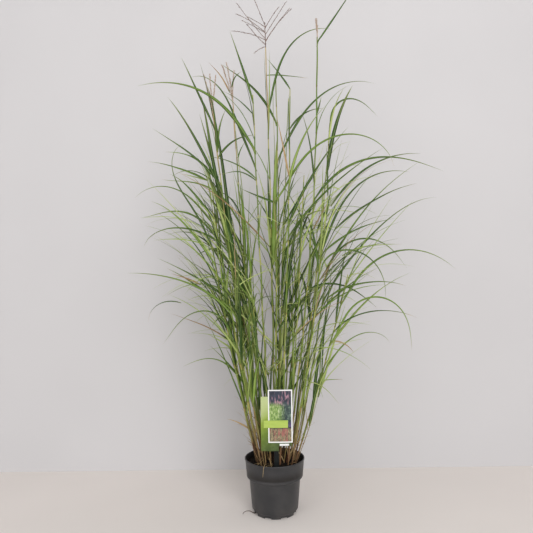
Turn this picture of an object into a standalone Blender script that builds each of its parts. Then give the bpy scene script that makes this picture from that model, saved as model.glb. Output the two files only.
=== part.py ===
"""Potted miscanthus grass: nursery pot, soil, plant label, culms, leaf blades and plumes.

Metres, +Z up. The origin is the middle of the pot's underside, on the floor, and -Y is
the side the plant label faces. Every culm, blade, plume and label part is one closed solid.
"""
from math import cos, pi, radians, sin

import bmesh
import bpy
from mathutils import Matrix, Vector

# ---------------------------------------------------------------- driving dimensions
GAP = 0.0005  # clearance between neighbouring pieces
SMOOTH_ANGLE = radians(35)

# Pot
POT_HEIGHT = 0.153
RIM_RADIUS = 0.0825
LIP_HEIGHT = 0.004
LIP_REACH = 0.0012
BAND_BOTTOM_Z = 0.1045
BAND_BOTTOM_RADIUS = 0.0790
NECK_RADIUS = 0.0716
NECK_Z = 0.0965
BODY_BOTTOM_RADIUS = 0.0648
BODY_BOTTOM_Z = 0.0130
FOOT_RADIUS = 0.0590
FOOT_EDGE = 0.0015
FOOT_TOP_Z = 0.0090
WALL = 0.0018
FLOOR_Z = 0.0036
POT_STEPS = 48
NOTCH_COUNT = 8
NOTCH_WIDTH = 0.020
NOTCH_HEIGHT = 0.0055
NOTCH_DEPTH = 0.020
NOTCH_PHASE = 0.54

# Soil
SOIL_EDGE_Z = 0.1370
SOIL_MIDDLE_Z = 0.1405
SOIL_STEPS = 36

# Culms
CULM_BASE_Z = SOIL_EDGE_Z - 0.018
CULM_RADIUS = 0.0026
CULM_TOP_RADIUS = 0.0012
CULM_STATIONS = 8
CULM_SIDES = 6

# Blades
BLADE_THICKNESS = 0.0010
BLADE_STATIONS = 12
FOOT_TURN = radians(45)  # where round its culm a blade starts, between side and front

# Label
LABEL_Y = -0.0600
BACKING_WIDTH = 0.084
BACKING_HEIGHT = 0.148
BACKING_LEFT = -0.037
BACKING_BOTTOM_Z = 0.189
LABEL_THICKNESS = 0.0008
TAB_CUT_LEFT = 0.0113
TAB_CUT_HEIGHT = 0.0135
STAKE_WIDTH = 0.013
STAKE_BOTTOM_Z = 0.1230
STAKE_X = 0.0046
CARD_WIDTH = 0.066
CARD_HEIGHT = 0.144
CARD_LEFT = -0.017
CARD_BOTTOM_Z = 0.212
CARD_THICKNESS = 0.0010
STRIP_WIDTH = 0.066
STRIP_HEIGHT = 0.020
STRIP_LEFT = -0.0295
STRIP_BOTTOM_Z = 0.2530
STRIP_THICKNESS = 0.0010

# Each culm: foot x, foot y, top x, top y, top z, bow (how far its middle leans outwards).
CULMS = (
    (0.000, 0.004, -0.012, 0.010, 1.300, 0.004),
    (0.030, -0.012, 0.1285, -0.030, 1.312, 0.024),
    (-0.028, -0.012, -0.156, -0.050, 1.105, -0.010),
    (-0.017, 0.020, -0.107, 0.050, 1.155, -0.010),
    (0.013, -0.026, 0.052, -0.055, 1.165, 0.006),
    (0.009, 0.030, 0.017, 0.090, 1.240, 0.006),
    (0.039, 0.012, 0.170, 0.050, 1.100, 0.014),
    (-0.037, 0.008, -0.176, 0.030, 0.970, -0.012),
    (-0.041, -0.018, -0.160, -0.080, 0.745, -0.008),
    (0.050, -0.012, 0.206, -0.035, 0.665, 0.006),
    (-0.010, -0.024, -0.048, -0.062, 1.150, -0.002),
    (0.022, 0.040, 0.100, 0.140, 0.960, 0.006),
    (-0.028, 0.036, -0.098, 0.140, 0.840, -0.006),
    (0.043, -0.032, 0.136, -0.120, 0.800, 0.006),
    (-0.032, -0.038, -0.116, -0.125, 0.620, -0.004),
    (0.051, 0.006, 0.160, 0.075, 0.690, 0.008),
    (-0.046, 0.000, -0.124, -0.030, 0.560, -0.004),
    (0.000, -0.012, 0.012, -0.022, 0.880, 0.002),
)

# Each blade: culm number, height where it leaves the culm, its slope at the foot, at a
# third, at two thirds and at the tip (degrees; 0 points to +X, 90 up, 180 to -X), length,
# how far its tip moves in y, width, roll (degrees; 0 turns its edge to -Y, 90 its face).
BLADES = (
    (10, 0.585, (60, 42, -4, -46), 0.38, -0.05, 0.010, 60),
    (16, 0.660, (76, 30, -26, -54), 0.34, 0.08, 0.009, 60),
    (10, 0.480, (54, 42, -46, -92), 0.36, -0.10, 0.010, 55),
    (16, 0.580, (66, 50, 38, 2), 0.48, 0.05, 0.010, 60),
    (2, 0.870, (58, 28, -10, -28), 0.37, -0.12, 0.010, 60),
    (7, 0.710, (66, 60, 28, -6), 0.45, 0.20, 0.010, 60),
    (16, 0.685, (58, 56, 44, 32), 0.40, -0.06, 0.008, 65),
    (18, 0.870, (56, 46, -12, -86), 0.42, -0.16, 0.009, 65),
    (6, 1.000, (64, 56, 30, -8), 0.44, 0.16, 0.010, 60),
    (7, 0.965, (84, 78, 70, 58), 0.24, -0.03, 0.012, 75),
    (7, 1.085, (90, 46, -20, -34), 0.22, 0.06, 0.008, 60),
    (2, 1.300, (56, 54, 54, 48), 0.20, -0.03, 0.007, 65),
    (1, 1.130, (78, 72, 46, 0), 0.38, 0.18, 0.009, 60),
    (6, 1.110, (112, 124, 134, 132), 0.29, 0.18, 0.010, 65),
    (11, 1.140, (104, 108, 109, 110), 0.18, -0.03, 0.009, 70),
    (11, 1.005, (120, 134, 168, 199), 0.37, -0.07, 0.013, 65),
    (11, 0.960, (108, 111, 122, 192), 0.35, 0.10, 0.009, 60),
    (3, 1.070, (112, 115, 114, 117), 0.19, -0.04, 0.008, 70),
    (3, 0.900, (113, 116, 120, 130), 0.27, -0.06, 0.010, 65),
    (9, 0.740, (108, 120, 108, 8), 0.31, -0.06, 0.008, 60),
    (13, 0.820, (116, 138, 168, 162), 0.32, 0.15, 0.009, 60),
    (8, 0.800, (132, 136, 174, 220), 0.31, 0.10, 0.007, 60),
    (8, 0.765, (128, 146, 186, 182), 0.26, 0.03, 0.009, 60),
    (9, 0.700, (120, 126, 136, 164), 0.23, -0.05, 0.009, 65),
    (3, 0.725, (118, 154, 188, 268), 0.24, -0.20, 0.009, 60),
    (15, 0.570, (126, 148, 165, 180), 0.28, -0.10, 0.009, 60),
    (15, 0.480, (122, 126, 204, 234), 0.25, -0.18, 0.008, 60),
    (13, 0.540, (120, 150, 190, 210), 0.31, 0.14, 0.008, 60),
    (17, 0.385, (128, 146, 186, 198), 0.17, -0.05, 0.007, 60),
    (10, 0.380, (60, 44, 2, -62), 0.28, 0.12, 0.008, 60),
    (14, 0.675, (86, 6, -60, -112), 0.26, -0.17, 0.007, 60),
    (1, 0.700, (88, 88, 88, 86), 0.34, -0.01, 0.014, 88),
    (5, 0.770, (58, 48, 38, 28), 0.29, -0.25, 0.009, 60),
)

# Each plume: name, culm number, length of its axis, then its racemes as
# (share of the axis, slope at foot, slope at tip, length, y at tip).
PLUMES = (
    (
        "open_plume",
        1,
        0.066,
        (
            (0.35, 132, 129, 0.118, -0.020),
            (0.85, 141, 140, 0.064, 0.030),
            (0.60, 144, 142, 0.080, 0.035),
            (0.62, 138, 168, 0.088, -0.030),
            (0.30, 150, 170, 0.098, 0.020),
            (0.10, 140, 138, 0.066, -0.035),
            (0.02, 190, 215, 0.034, 0.010),
            (0.78, 64, 58, 0.080, 0.030),
            (0.52, 56, 52, 0.098, -0.025),
            (0.26, 58, 52, 0.118, 0.022),
            (0.22, 60, 34, 0.104, -0.034),
            (0.92, 112, 110, 0.086, 0.006),
        ),
    ),
    (
        "half_open_plume_left",
        3,
        0.030,
        (
            (0.30, 104, 102, 0.090, -0.012),
            (0.60, 96, 92, 0.086, 0.012),
            (0.45, 84, 82, 0.084, -0.002),
        ),
    ),
    (
        "half_open_plume_back",
        4,
        0.030,
        (
            (0.30, 104, 108, 0.104, 0.012),
            (0.60, 98, 100, 0.092, -0.010),
            (0.45, 90, 84, 0.080, 0.014),
        ),
    ),
    (
        "closed_plume_right",
        2,
        0.030,
        (
            (0.40, 97, 98, 0.044, -0.003),
            (0.70, 91, 93, 0.038, 0.004),
        ),
    ),
)
AXIS_RADIUS = 0.0014
RACEME_RADIUS = 0.0012
RACEME_TIP_RADIUS = 0.0005
RACEME_STATIONS = 5

# ---------------------------------------------------------------- start from nothing
for old in list(bpy.data.objects):
    bpy.data.objects.remove(old, do_unlink=True)

PARTS = bpy.data.collections.new("potted_miscanthus")
CUTTERS = bpy.data.collections.new("cutters")
bpy.context.scene.collection.children.link(PARTS)
bpy.context.scene.collection.children.link(CUTTERS)


def material(name, colour, roughness):
    """A Principled material of its own for each kind of piece."""
    mat = bpy.data.materials.new(name)
    mat.use_nodes = True
    shader = mat.node_tree.nodes["Principled BSDF"]
    shader.inputs["Base Color"].default_value = (*colour, 1.0)
    shader.inputs["Roughness"].default_value = roughness
    return mat


POT_GREY = material("pot_plastic", (0.055, 0.055, 0.058), 0.45)
SOIL_BROWN = material("soil", (0.030, 0.020, 0.014), 0.95)
CULM_GREEN = material("culm", (0.230, 0.270, 0.070), 0.50)
BLADE_GREEN = material("blade", (0.090, 0.190, 0.040), 0.50)
PLUME_BROWN = material("plume", (0.200, 0.130, 0.110), 0.70)
LABEL_GREEN = material("label_green", (0.150, 0.380, 0.060), 0.40)
CARD_WHITE = material("card_white", (0.750, 0.750, 0.740), 0.40)
STRIP_LIME = material("strip_lime", (0.350, 0.600, 0.060), 0.40)


def place(obj, mat, collection=PARTS):
    """Links an object into its collection and gives it its material."""
    collection.objects.link(obj)
    obj.data.materials.clear()
    obj.data.materials.append(mat)
    return obj


def rounded_look(obj):
    """Shades a round piece smooth, and keeps its real edges sharp."""
    obj.data.shade_smooth()
    obj.data.set_sharp_from_angle(angle=SMOOTH_ANGLE)
    return obj


def as_cutter(obj):
    """Puts an object with the cutters, out of the render."""
    CUTTERS.objects.link(obj)
    obj.hide_render = True
    obj.display_type = "WIRE"
    return obj


def baked(obj):
    """The object's mesh with its modifiers, in place of the object's own mesh."""
    graph = bpy.context.evaluated_depsgraph_get()
    mesh = bpy.data.meshes.new_from_object(obj.evaluated_get(graph))
    obj.modifiers.clear()
    if obj.type == "MESH":
        obj.data = mesh
        return obj
    weld(mesh)
    name = obj.name
    bpy.data.objects.remove(obj, do_unlink=True)
    return bpy.data.objects.new(name, mesh)


def weld(mesh):
    """Joins a curve's loose caps to its sides and turns every face outwards."""
    shape = bmesh.new()
    shape.from_mesh(mesh)
    bmesh.ops.remove_doubles(shape, verts=shape.verts, dist=0.00001)
    bmesh.ops.recalc_face_normals(shape, faces=shape.faces)
    shape.to_mesh(mesh)
    shape.free()


def turned(name, profile, steps, mat):
    """A solid of revolution: the profile runs down the outer side and up the inner one."""
    mesh = bpy.data.meshes.new(name)
    rings = [(radius, 0.0, z) for radius, z in profile]
    edges = [(i, i + 1) for i in range(len(rings) - 1)]
    mesh.from_pydata(rings, edges, [])
    obj = place(bpy.data.objects.new(name, mesh), mat)
    screw = obj.modifiers.new("turn", "SCREW")
    screw.steps = steps
    screw.render_steps = steps
    screw.use_merge_vertices = True
    screw.merge_threshold = 0.00001
    screw.use_smooth_shade = False
    return obj


def box(name, low, high, collection_step):
    """A box from its low corner to its high corner."""
    size = [b - a for a, b in zip(low, high)]
    middle = [(a + b) / 2 for a, b in zip(low, high)]
    mesh = bpy.data.meshes.new(name)
    shape = bmesh.new()
    bmesh.ops.create_cube(shape, size=1.0, matrix=Matrix.Diagonal((*size, 1.0)))
    bmesh.ops.translate(shape, verts=shape.verts, vec=middle)
    shape.to_mesh(mesh)
    shape.free()
    obj = bpy.data.objects.new(name, mesh)
    return collection_step(obj)


def combine(target, other, operation):
    """One exact Boolean, applied straight away."""
    step = target.modifiers.new(operation.lower(), "BOOLEAN")
    step.operation = operation
    step.solver = "EXACT"
    step.object = other
    step.use_self = True
    return baked(target)


def tube(name, points, radii, sides, overlap=0.0):
    """A round stem along the points, as a bevelled curve with filled ends, made a mesh."""
    curve = bpy.data.curves.new(name, "CURVE")
    curve.dimensions = "3D"
    curve.bevel_depth = 1.0
    curve.bevel_resolution = (sides - 4) // 2
    curve.use_fill_caps = True
    spline = curve.splines.new("POLY")
    spline.points.add(len(points) - 1)
    for knot, point, radius in zip(spline.points, points, radii):
        knot.co = (*point, 1.0)
        knot.radius = radius + overlap
    obj = bpy.data.objects.new(name, curve)
    bpy.context.scene.collection.objects.link(obj)
    return baked(obj)


# ---------------------------------------------------------------- nursery pot
INNER_RIM = RIM_RADIUS - WALL
INNER_BAND = BAND_BOTTOM_RADIUS - WALL
INNER_NECK = NECK_RADIUS - WALL
INNER_BOTTOM = BODY_BOTTOM_RADIUS - WALL
INNER_FOOT = FOOT_RADIUS - WALL
POT_PROFILE = (
    (0.0, 0.0),
    (FOOT_RADIUS - FOOT_EDGE, 0.0),
    (FOOT_RADIUS, FOOT_EDGE),
    (FOOT_RADIUS + 0.0005, FOOT_TOP_Z),
    (BODY_BOTTOM_RADIUS, BODY_BOTTOM_Z),
    (NECK_RADIUS, NECK_Z),
    (BAND_BOTTOM_RADIUS - 0.0012, BAND_BOTTOM_Z - 0.0030),
    (BAND_BOTTOM_RADIUS, BAND_BOTTOM_Z),
    (RIM_RADIUS, POT_HEIGHT - LIP_HEIGHT),
    (RIM_RADIUS + LIP_REACH, POT_HEIGHT - LIP_HEIGHT + 0.0005),
    (RIM_RADIUS + LIP_REACH, POT_HEIGHT - 0.0010),
    (RIM_RADIUS + LIP_REACH - 0.0010, POT_HEIGHT),
    (INNER_RIM + 0.0003, POT_HEIGHT),
    (INNER_RIM, POT_HEIGHT - 0.0010),
    (INNER_BAND, BAND_BOTTOM_Z),
    (INNER_NECK, NECK_Z + 0.0010),
    (INNER_BOTTOM, BODY_BOTTOM_Z + 0.0025),
    (INNER_FOOT, FOOT_TOP_Z + 0.0022),
    (INNER_FOOT, FLOOR_Z + 0.0010),
    (INNER_FOOT - 0.0020, FLOOR_Z),
    (0.0, FLOOR_Z),
)
pot = turned("nursery_pot", tuple(reversed(POT_PROFILE)), POT_STEPS, POT_GREY)

# Drain notches round the bottom edge, made as one cutter of turned boxes.
notch_mesh = bpy.data.meshes.new("drain_notches")
notches = bmesh.new()
NOTCH_REACH = FOOT_RADIUS + 0.003
for index in range(NOTCH_COUNT):
    shape = Matrix.Diagonal((NOTCH_DEPTH, NOTCH_WIDTH, NOTCH_HEIGHT + 0.01, 1.0))
    out = Matrix.Translation((NOTCH_REACH, 0.0, (NOTCH_HEIGHT - 0.01) / 2))
    turn = Matrix.Rotation(2 * pi * (index + NOTCH_PHASE) / NOTCH_COUNT, 4, "Z")
    bmesh.ops.create_cube(notches, size=1.0, matrix=turn @ out @ shape)
notches.to_mesh(notch_mesh)
notches.free()
notch_cutter = as_cutter(bpy.data.objects.new("drain_notches", notch_mesh))
pot = rounded_look(combine(baked(pot), notch_cutter, "DIFFERENCE"))


# ---------------------------------------------------------------- culm lines
def culm_point(number, z):
    """The middle of a culm at a height: straight up and out, with a bow half-way."""
    foot_x, foot_y, top_x, top_y, top_z, bow = CULMS[number - 1]
    share = (z - CULM_BASE_Z) / (top_z - CULM_BASE_Z)
    bulge = 4 * share * (1 - share) * bow
    return Vector((foot_x + (top_x - foot_x) * share + bulge, foot_y + (top_y - foot_y) * share, z))


def culm_radius(number, z):
    """A culm's radius at a height."""
    top_z = CULMS[number - 1][4]
    share = (z - CULM_BASE_Z) / (top_z - CULM_BASE_Z)
    return CULM_RADIUS + (CULM_TOP_RADIUS - CULM_RADIUS) * share


def culm_line(number, low, high, count):
    """Points and radii of a culm between two heights."""
    heights = [low + (high - low) * i / (count - 1) for i in range(count)]
    return [culm_point(number, z) for z in heights], [culm_radius(number, z) for z in heights]


# ---------------------------------------------------------------- potting soil
SOIL_EDGE_RADIUS = INNER_BAND + (INNER_RIM - INNER_BAND) * 0.6 - GAP
SOIL_PROFILE = (
    (0.0, SOIL_MIDDLE_Z),
    (0.030, SOIL_MIDDLE_Z - 0.0008),
    (0.060, SOIL_MIDDLE_Z - 0.0020),
    (SOIL_EDGE_RADIUS, SOIL_EDGE_Z),
    (INNER_BAND - GAP, BAND_BOTTOM_Z + 0.0006),
    (INNER_NECK - GAP, NECK_Z + 0.0016),
    (INNER_BOTTOM - GAP, BODY_BOTTOM_Z + 0.0031),
    (INNER_FOOT - GAP, FOOT_TOP_Z + 0.0028),
    (INNER_FOOT - GAP, NOTCH_HEIGHT + 0.0010),
    (0.0, NOTCH_HEIGHT + 0.0010),
)
soil = baked(turned("potting_soil", SOIL_PROFILE, SOIL_STEPS, SOIL_BROWN))
for number in range(1, len(CULMS) + 1):
    ends = culm_line(number, CULM_BASE_Z - 0.0010, SOIL_MIDDLE_Z + 0.0100, 2)
    socket = as_cutter(tube(f"socket_{number:02d}", *ends, CULM_SIDES, overlap=0.0006))
    soil = combine(soil, socket, "DIFFERENCE")
slot = box(
    "stake_slot",
    (STAKE_X - STAKE_WIDTH / 2 - GAP, LABEL_Y - LABEL_THICKNESS / 2 - GAP, STAKE_BOTTOM_Z - GAP),
    (STAKE_X + STAKE_WIDTH / 2 + GAP, LABEL_Y + LABEL_THICKNESS / 2 + GAP, SOIL_MIDDLE_Z + 0.01),
    as_cutter,
)
soil = rounded_look(combine(soil, slot, "DIFFERENCE"))


# ---------------------------------------------------------------- plant label
def plate(name, outline, front_y, thickness, mat):
    """A flat piece cut to an outline in x and z, as a filled 2D curve extruded in y."""
    curve = bpy.data.curves.new(name, "CURVE")
    curve.dimensions = "2D"
    curve.fill_mode = "BOTH"
    curve.extrude = thickness / 2
    spline = curve.splines.new("POLY")
    spline.points.add(len(outline) - 1)
    for knot, (x, z) in zip(spline.points, outline):
        knot.co = (x, z, 0.0, 1.0)
    spline.use_cyclic_u = True
    obj = bpy.data.objects.new(name, curve)
    bpy.context.scene.collection.objects.link(obj)
    obj = place(baked(obj), mat)
    stand = Matrix.Translation((0.0, front_y + thickness / 2, 0.0))
    obj.data.transform(stand @ Matrix.Rotation(pi / 2, 4, "X"))
    return obj


def rounded(left, bottom, width, height, corner, steps=3):
    """A rectangle with rounded corners, anticlockwise from its lower right corner."""
    corners = (
        (left + width - corner, bottom + corner, -90),
        (left + width - corner, bottom + height - corner, 0),
        (left + corner, bottom + height - corner, 90),
        (left + corner, bottom + corner, 180),
    )
    points = []
    for x, z, start in corners:
        for step in range(steps + 1):
            angle = radians(start + 90 * step / steps)
            points.append((x + corner * cos(angle), z + corner * sin(angle)))
    return points


# The backing's lower right corner is cut away; its stake leaves from the left of the cut.
CORNER_STEPS = 3
tab_cut = [
    (TAB_CUT_LEFT, BACKING_BOTTOM_Z),
    (TAB_CUT_LEFT, BACKING_BOTTOM_Z + TAB_CUT_HEIGHT),
    (BACKING_LEFT + BACKING_WIDTH, BACKING_BOTTOM_Z + TAB_CUT_HEIGHT),
]
panel = rounded(
    BACKING_LEFT, BACKING_BOTTOM_Z, BACKING_WIDTH, BACKING_HEIGHT, 0.003, CORNER_STEPS
)
stake = [
    (STAKE_X - STAKE_WIDTH / 2, BACKING_BOTTOM_Z),
    (STAKE_X - STAKE_WIDTH / 2, STAKE_BOTTOM_Z + 0.010),
    (STAKE_X, STAKE_BOTTOM_Z),
    (STAKE_X + STAKE_WIDTH / 2, STAKE_BOTTOM_Z + 0.010),
    (STAKE_X + STAKE_WIDTH / 2, BACKING_BOTTOM_Z),
]
backing = tab_cut + panel[CORNER_STEPS + 1 :] + stake
label_back = LABEL_Y - LABEL_THICKNESS / 2
plate("label_backing_with_stake", backing, label_back, LABEL_THICKNESS, LABEL_GREEN)
card_front = label_back - GAP - CARD_THICKNESS
card = rounded(CARD_LEFT, CARD_BOTTOM_Z, CARD_WIDTH, CARD_HEIGHT, 0.002)
plate("picture_card", card, card_front, CARD_THICKNESS, CARD_WHITE)
strip_front = card_front - GAP - STRIP_THICKNESS
strip = rounded(STRIP_LEFT, STRIP_BOTTOM_Z, STRIP_WIDTH, STRIP_HEIGHT, 0.001)
plate("name_strip", strip, strip_front, STRIP_THICKNESS, STRIP_LIME)

# ---------------------------------------------------------------- culms
for number in range(1, len(CULMS) + 1):
    name = f"culm_{number:02d}"
    stem = tube(name, *culm_line(number, CULM_BASE_Z, CULMS[number - 1][4], CULM_STATIONS), CULM_SIDES)
    rounded_look(place(stem, CULM_GREEN))


# ---------------------------------------------------------------- leaf blades
def slope_at(slopes, share):
    """The smooth slope through four even steps: foot, a third, two thirds and tip."""
    total = 0.0
    for i, slope in enumerate(slopes):
        weight = 1.0
        for j in range(4):
            if j != i:
                weight *= (3 * share - j) / (i - j)
        total += slope * weight
    return radians(total)


def arc(start, slopes, length, drift, count):
    """Points along an arching blade or raceme. It leaves its foot and drifts in y."""
    fine = 8 * (count - 1)
    points = [Vector(start)]
    place_now = Vector(start)
    for i in range(fine):
        share = (i + 0.5) / fine
        slope = slope_at(slopes, share)
        step = Vector((cos(slope), 0.0, sin(slope))) * (length / fine)
        step.y = drift * 1.5 * share**0.5 / fine
        place_now = place_now + step
        if (i + 1) % 8 == 0:
            points.append(place_now.copy())
    return points


def blade_width(share, width):
    """Narrow at the foot, widest a third of the way along, then a long taper to a point."""
    swell = 0.55 + 0.45 * min(1.0, share / 0.25)
    return width * swell * (1 - share ** 2.2) ** 0.8


def lofted(name, points, width, thickness, roll, mat):
    """A blade: four-cornered sections along the points that shrink to a single tip."""
    verts = []
    faces = []
    last = len(points) - 1
    heading = (points[-1] - points[0]).normalized()
    for i, point in enumerate(points[:-1]):
        before = points[max(i - 1, 0)]
        along = (points[i + 1] - before).normalized()
        across = Vector((0.0, 1.0, 0.0))
        across = (across - along * across.dot(along)).normalized()
        upward = across.cross(along) * (1 if heading.x > 0 else -1)
        side = across * cos(roll) + upward * sin(roll)
        face = side.cross(along)
        half = blade_width(i / last, width) / 2
        thick = thickness * (0.5 + 0.5 * (1 - i / last)) / 2
        verts += [point + side * half, point + face * thick, point - side * half, point - face * thick]
    verts.append(points[-1])
    tip = len(verts) - 1
    for i in range(last - 1):
        for k in range(4):
            a = 4 * i + k
            b = 4 * i + (k + 1) % 4
            faces += [(a, b, b + 4), (a, b + 4, a + 4)]
    end = 4 * (last - 1)
    for k in range(4):
        faces.append((end + k, end + (k + 1) % 4, tip))
    faces += [(0, 3, 2), (0, 2, 1)]
    mesh = bpy.data.meshes.new(name)
    mesh.from_pydata(verts, [], faces)
    weld(mesh)
    return place(bpy.data.objects.new(name, mesh), mat)


for index, (culm, z, slopes, length, drift, width, roll) in enumerate(BLADES, 1):
    beside = culm_radius(culm, z) + width * 0.55 / 2 + GAP
    outward = cos(FOOT_TURN) if slopes[1] < 90 else -cos(FOOT_TURN)
    forward = sin(FOOT_TURN) if drift > 0 else -sin(FOOT_TURN)
    start = culm_point(culm, z) + Vector((outward, forward, 0.0)) * beside
    path = arc(start, slopes, length, drift, BLADE_STATIONS)
    lofted(f"leaf_{index:02d}", path, width, BLADE_THICKNESS, radians(roll), BLADE_GREEN)

# ---------------------------------------------------------------- plumes
for name, culm, axis_length, racemes in PLUMES:
    top = CULMS[culm - 1][4]
    lower, upper = culm_point(culm, top - 0.02), culm_point(culm, top)
    along = (upper - lower).normalized()
    foot = upper + along * GAP
    head = foot + along * axis_length
    plume = tube(name, [foot, head], [AXIS_RADIUS, AXIS_RADIUS * 0.6], 4)
    place(plume, PLUME_BROWN)
    for share, slope, tip_slope, length, drift in racemes:
        start = foot + along * axis_length * share
        slopes = [slope + (tip_slope - slope) * third / 3 for third in range(4)]
        path = arc(start, slopes, length, drift, RACEME_STATIONS)
        shares = [i / (RACEME_STATIONS - 1) for i in range(RACEME_STATIONS)]
        radii = [RACEME_RADIUS + (RACEME_TIP_RADIUS - RACEME_RADIUS) * s for s in shares]
        twig = as_cutter(tube(f"{name}_raceme", path, radii, 4))
        plume = combine(plume, twig, "UNION")
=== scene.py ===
# %% [markdown]
# # Potted miscanthus: a tall ornamental grass in a nursery pot
# This lesson dresses a plain solid model of a potted grass clump. The solid model is the
# frame: it says where the pot, the stems, the main leaf blades, the plumes and the plant
# label are. Each step below reads a place from it and puts a finer piece there. The plant
# has no moving parts, so every piece rides on the one body, "root".

from math import cos, pi, radians, sin

import bmesh
import bpy
import numpy as np
from mathutils import Matrix, Vector, noise


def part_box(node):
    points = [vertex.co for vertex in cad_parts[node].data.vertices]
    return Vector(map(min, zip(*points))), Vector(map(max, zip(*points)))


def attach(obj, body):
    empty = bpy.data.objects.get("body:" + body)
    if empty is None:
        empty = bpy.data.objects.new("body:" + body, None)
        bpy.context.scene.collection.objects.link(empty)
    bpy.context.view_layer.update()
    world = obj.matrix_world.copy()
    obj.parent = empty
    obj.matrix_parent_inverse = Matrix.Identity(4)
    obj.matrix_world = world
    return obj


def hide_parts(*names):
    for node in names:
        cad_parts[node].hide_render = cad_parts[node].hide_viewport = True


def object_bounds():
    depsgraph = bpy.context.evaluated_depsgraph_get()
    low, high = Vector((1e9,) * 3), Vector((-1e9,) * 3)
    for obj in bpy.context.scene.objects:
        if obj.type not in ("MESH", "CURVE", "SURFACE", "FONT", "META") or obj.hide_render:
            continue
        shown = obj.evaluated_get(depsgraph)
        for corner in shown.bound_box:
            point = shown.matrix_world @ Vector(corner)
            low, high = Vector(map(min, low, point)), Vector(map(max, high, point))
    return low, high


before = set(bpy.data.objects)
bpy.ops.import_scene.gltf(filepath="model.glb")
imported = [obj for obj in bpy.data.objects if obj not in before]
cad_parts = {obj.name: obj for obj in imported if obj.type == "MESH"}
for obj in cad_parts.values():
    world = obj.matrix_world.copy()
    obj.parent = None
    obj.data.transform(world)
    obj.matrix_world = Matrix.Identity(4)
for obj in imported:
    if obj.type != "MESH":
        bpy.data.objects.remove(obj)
CAD_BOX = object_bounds()
CAD_LOW = np.array(CAD_BOX[0])
CAD_HIGH = np.array(CAD_BOX[1])
ROOM = 0.02 * (CAD_HIGH - CAD_LOW) + 0.006
print("solid model's box:", CAD_LOW.round(3), CAD_HIGH.round(3))

# %% [markdown]
# ## The camera
# The plant is seen from straight in front, from a little under half its height and less
# than two metres away, so the tips of the tall leaves just leave the top of the view. The
# camera is turned a touch about its own axis, which is why the plant leans slightly.

# %% Camera
CAMERA_DISTANCE = 1.664
CAMERA_HEIGHT = 0.7253
CAMERA_ASIDE = -0.0166
LENS_MM = 40.23
LOOKING_DOWN = radians(1.26)
TURNED = radians(-0.67)
camera_data = bpy.data.cameras.new("plant_camera")
camera_data.lens = LENS_MM
camera_data.sensor_width = 36.0
camera_data.clip_start = 0.05
camera = bpy.data.objects.new("plant_camera", camera_data)
bpy.context.scene.collection.objects.link(camera)
camera_turn = Matrix.Rotation(pi / 2 - LOOKING_DOWN, 4, "X") @ Matrix.Rotation(TURNED, 4, "Z")
camera_place = Matrix.Translation((CAMERA_ASIDE, -CAMERA_DISTANCE, CAMERA_HEIGHT))
camera.matrix_world = camera_place @ camera_turn
bpy.context.scene.camera = camera
print("camera:", tuple(round(v, 3) for v in camera.location))

# %% [markdown]
# ## Helpers for node graphs
# Materials and Geometry Nodes are both graphs of nodes. One helper adds a node to either,
# sets what is constant and links the rest; the others are short names for common nodes.


# %% Helpers for node graphs
def start_material(name, roughness, specular=0.5, coat=0.0, sheen=0.0):
    """A new Principled material; what is constant is set straight on its sockets."""
    mat = bpy.data.materials.new(name)
    mat.use_nodes = True
    shader = mat.node_tree.nodes["Principled BSDF"]
    shader.inputs["Roughness"].default_value = roughness
    shader.inputs["Specular IOR Level"].default_value = specular
    shader.inputs["Coat Weight"].default_value = coat
    shader.inputs["Coat Roughness"].default_value = 0.3
    shader.inputs["Sheen Weight"].default_value = sheen
    return mat, mat.node_tree, shader


def add(tree, kind, settings=None, **inputs):
    """A node of one kind. An input is a number, a colour or another node's output."""
    node = tree.nodes.new(kind)
    for key, value in (settings or {}).items():
        setattr(node, key, value)
    for key, value in inputs.items():
        by_number = key[0] == "i" and key[1:].isdigit()
        socket = node.inputs[int(key[1:]) if by_number else key.replace("_", " ")]
        if isinstance(value, bpy.types.NodeSocket):
            tree.links.new(value, socket)
        else:
            socket.default_value = value
    return node


def maths(tree, operation, a, b=0.0, c=0.0, clamp=False):
    """One Math node's output."""
    settings = {"operation": operation, "use_clamp": clamp}
    return add(tree, "ShaderNodeMath", settings, i0=a, i1=b, i2=c).outputs[0]


def blend(tree, factor, a, b, kind="MIX"):
    """Two colours mixed by a factor."""
    a, b = [(*v, 1.0) if isinstance(v, tuple) else v for v in (a, b)]
    settings = {"data_type": "RGBA", "blend_type": kind}
    return add(tree, "ShaderNodeMix", settings, i0=factor, i6=a, i7=b).outputs[2]


def band(tree, value, low, high, out_low=0.0, out_high=1.0):
    """A value mapped smoothly from one range to another."""
    settings = {"interpolation_type": "SMOOTHSTEP"}
    ends = {"i1": low, "i2": high, "i3": out_low, "i4": out_high}
    return add(tree, "ShaderNodeMapRange", settings, i0=value, **ends).outputs[0]


def ramp(tree, value, *stops):
    """A colour ramp through (place, colour) stops."""
    node = add(tree, "ShaderNodeValToRGB", i0=value)
    keys = node.color_ramp.elements
    while len(keys) < len(stops):
        keys.new(0.5)
    for key, (place, colour) in zip(keys, stops):
        key.position = place
        key.color = (*colour, 1.0)
    return node.outputs[0]


def own_place(tree, scale=(1.0, 1.0, 1.0)):
    """Object coordinates, scaled, for a pattern that stays on the piece."""
    place = add(tree, "ShaderNodeTexCoord").outputs["Object"]
    return add(tree, "ShaderNodeMapping", Vector=place, Scale=scale).outputs[0]


def own_value(tree, name):
    """A number that the mesh carries at each of its points."""
    return add(tree, "ShaderNodeAttribute", {"attribute_name": name}).outputs["Fac"]


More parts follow.
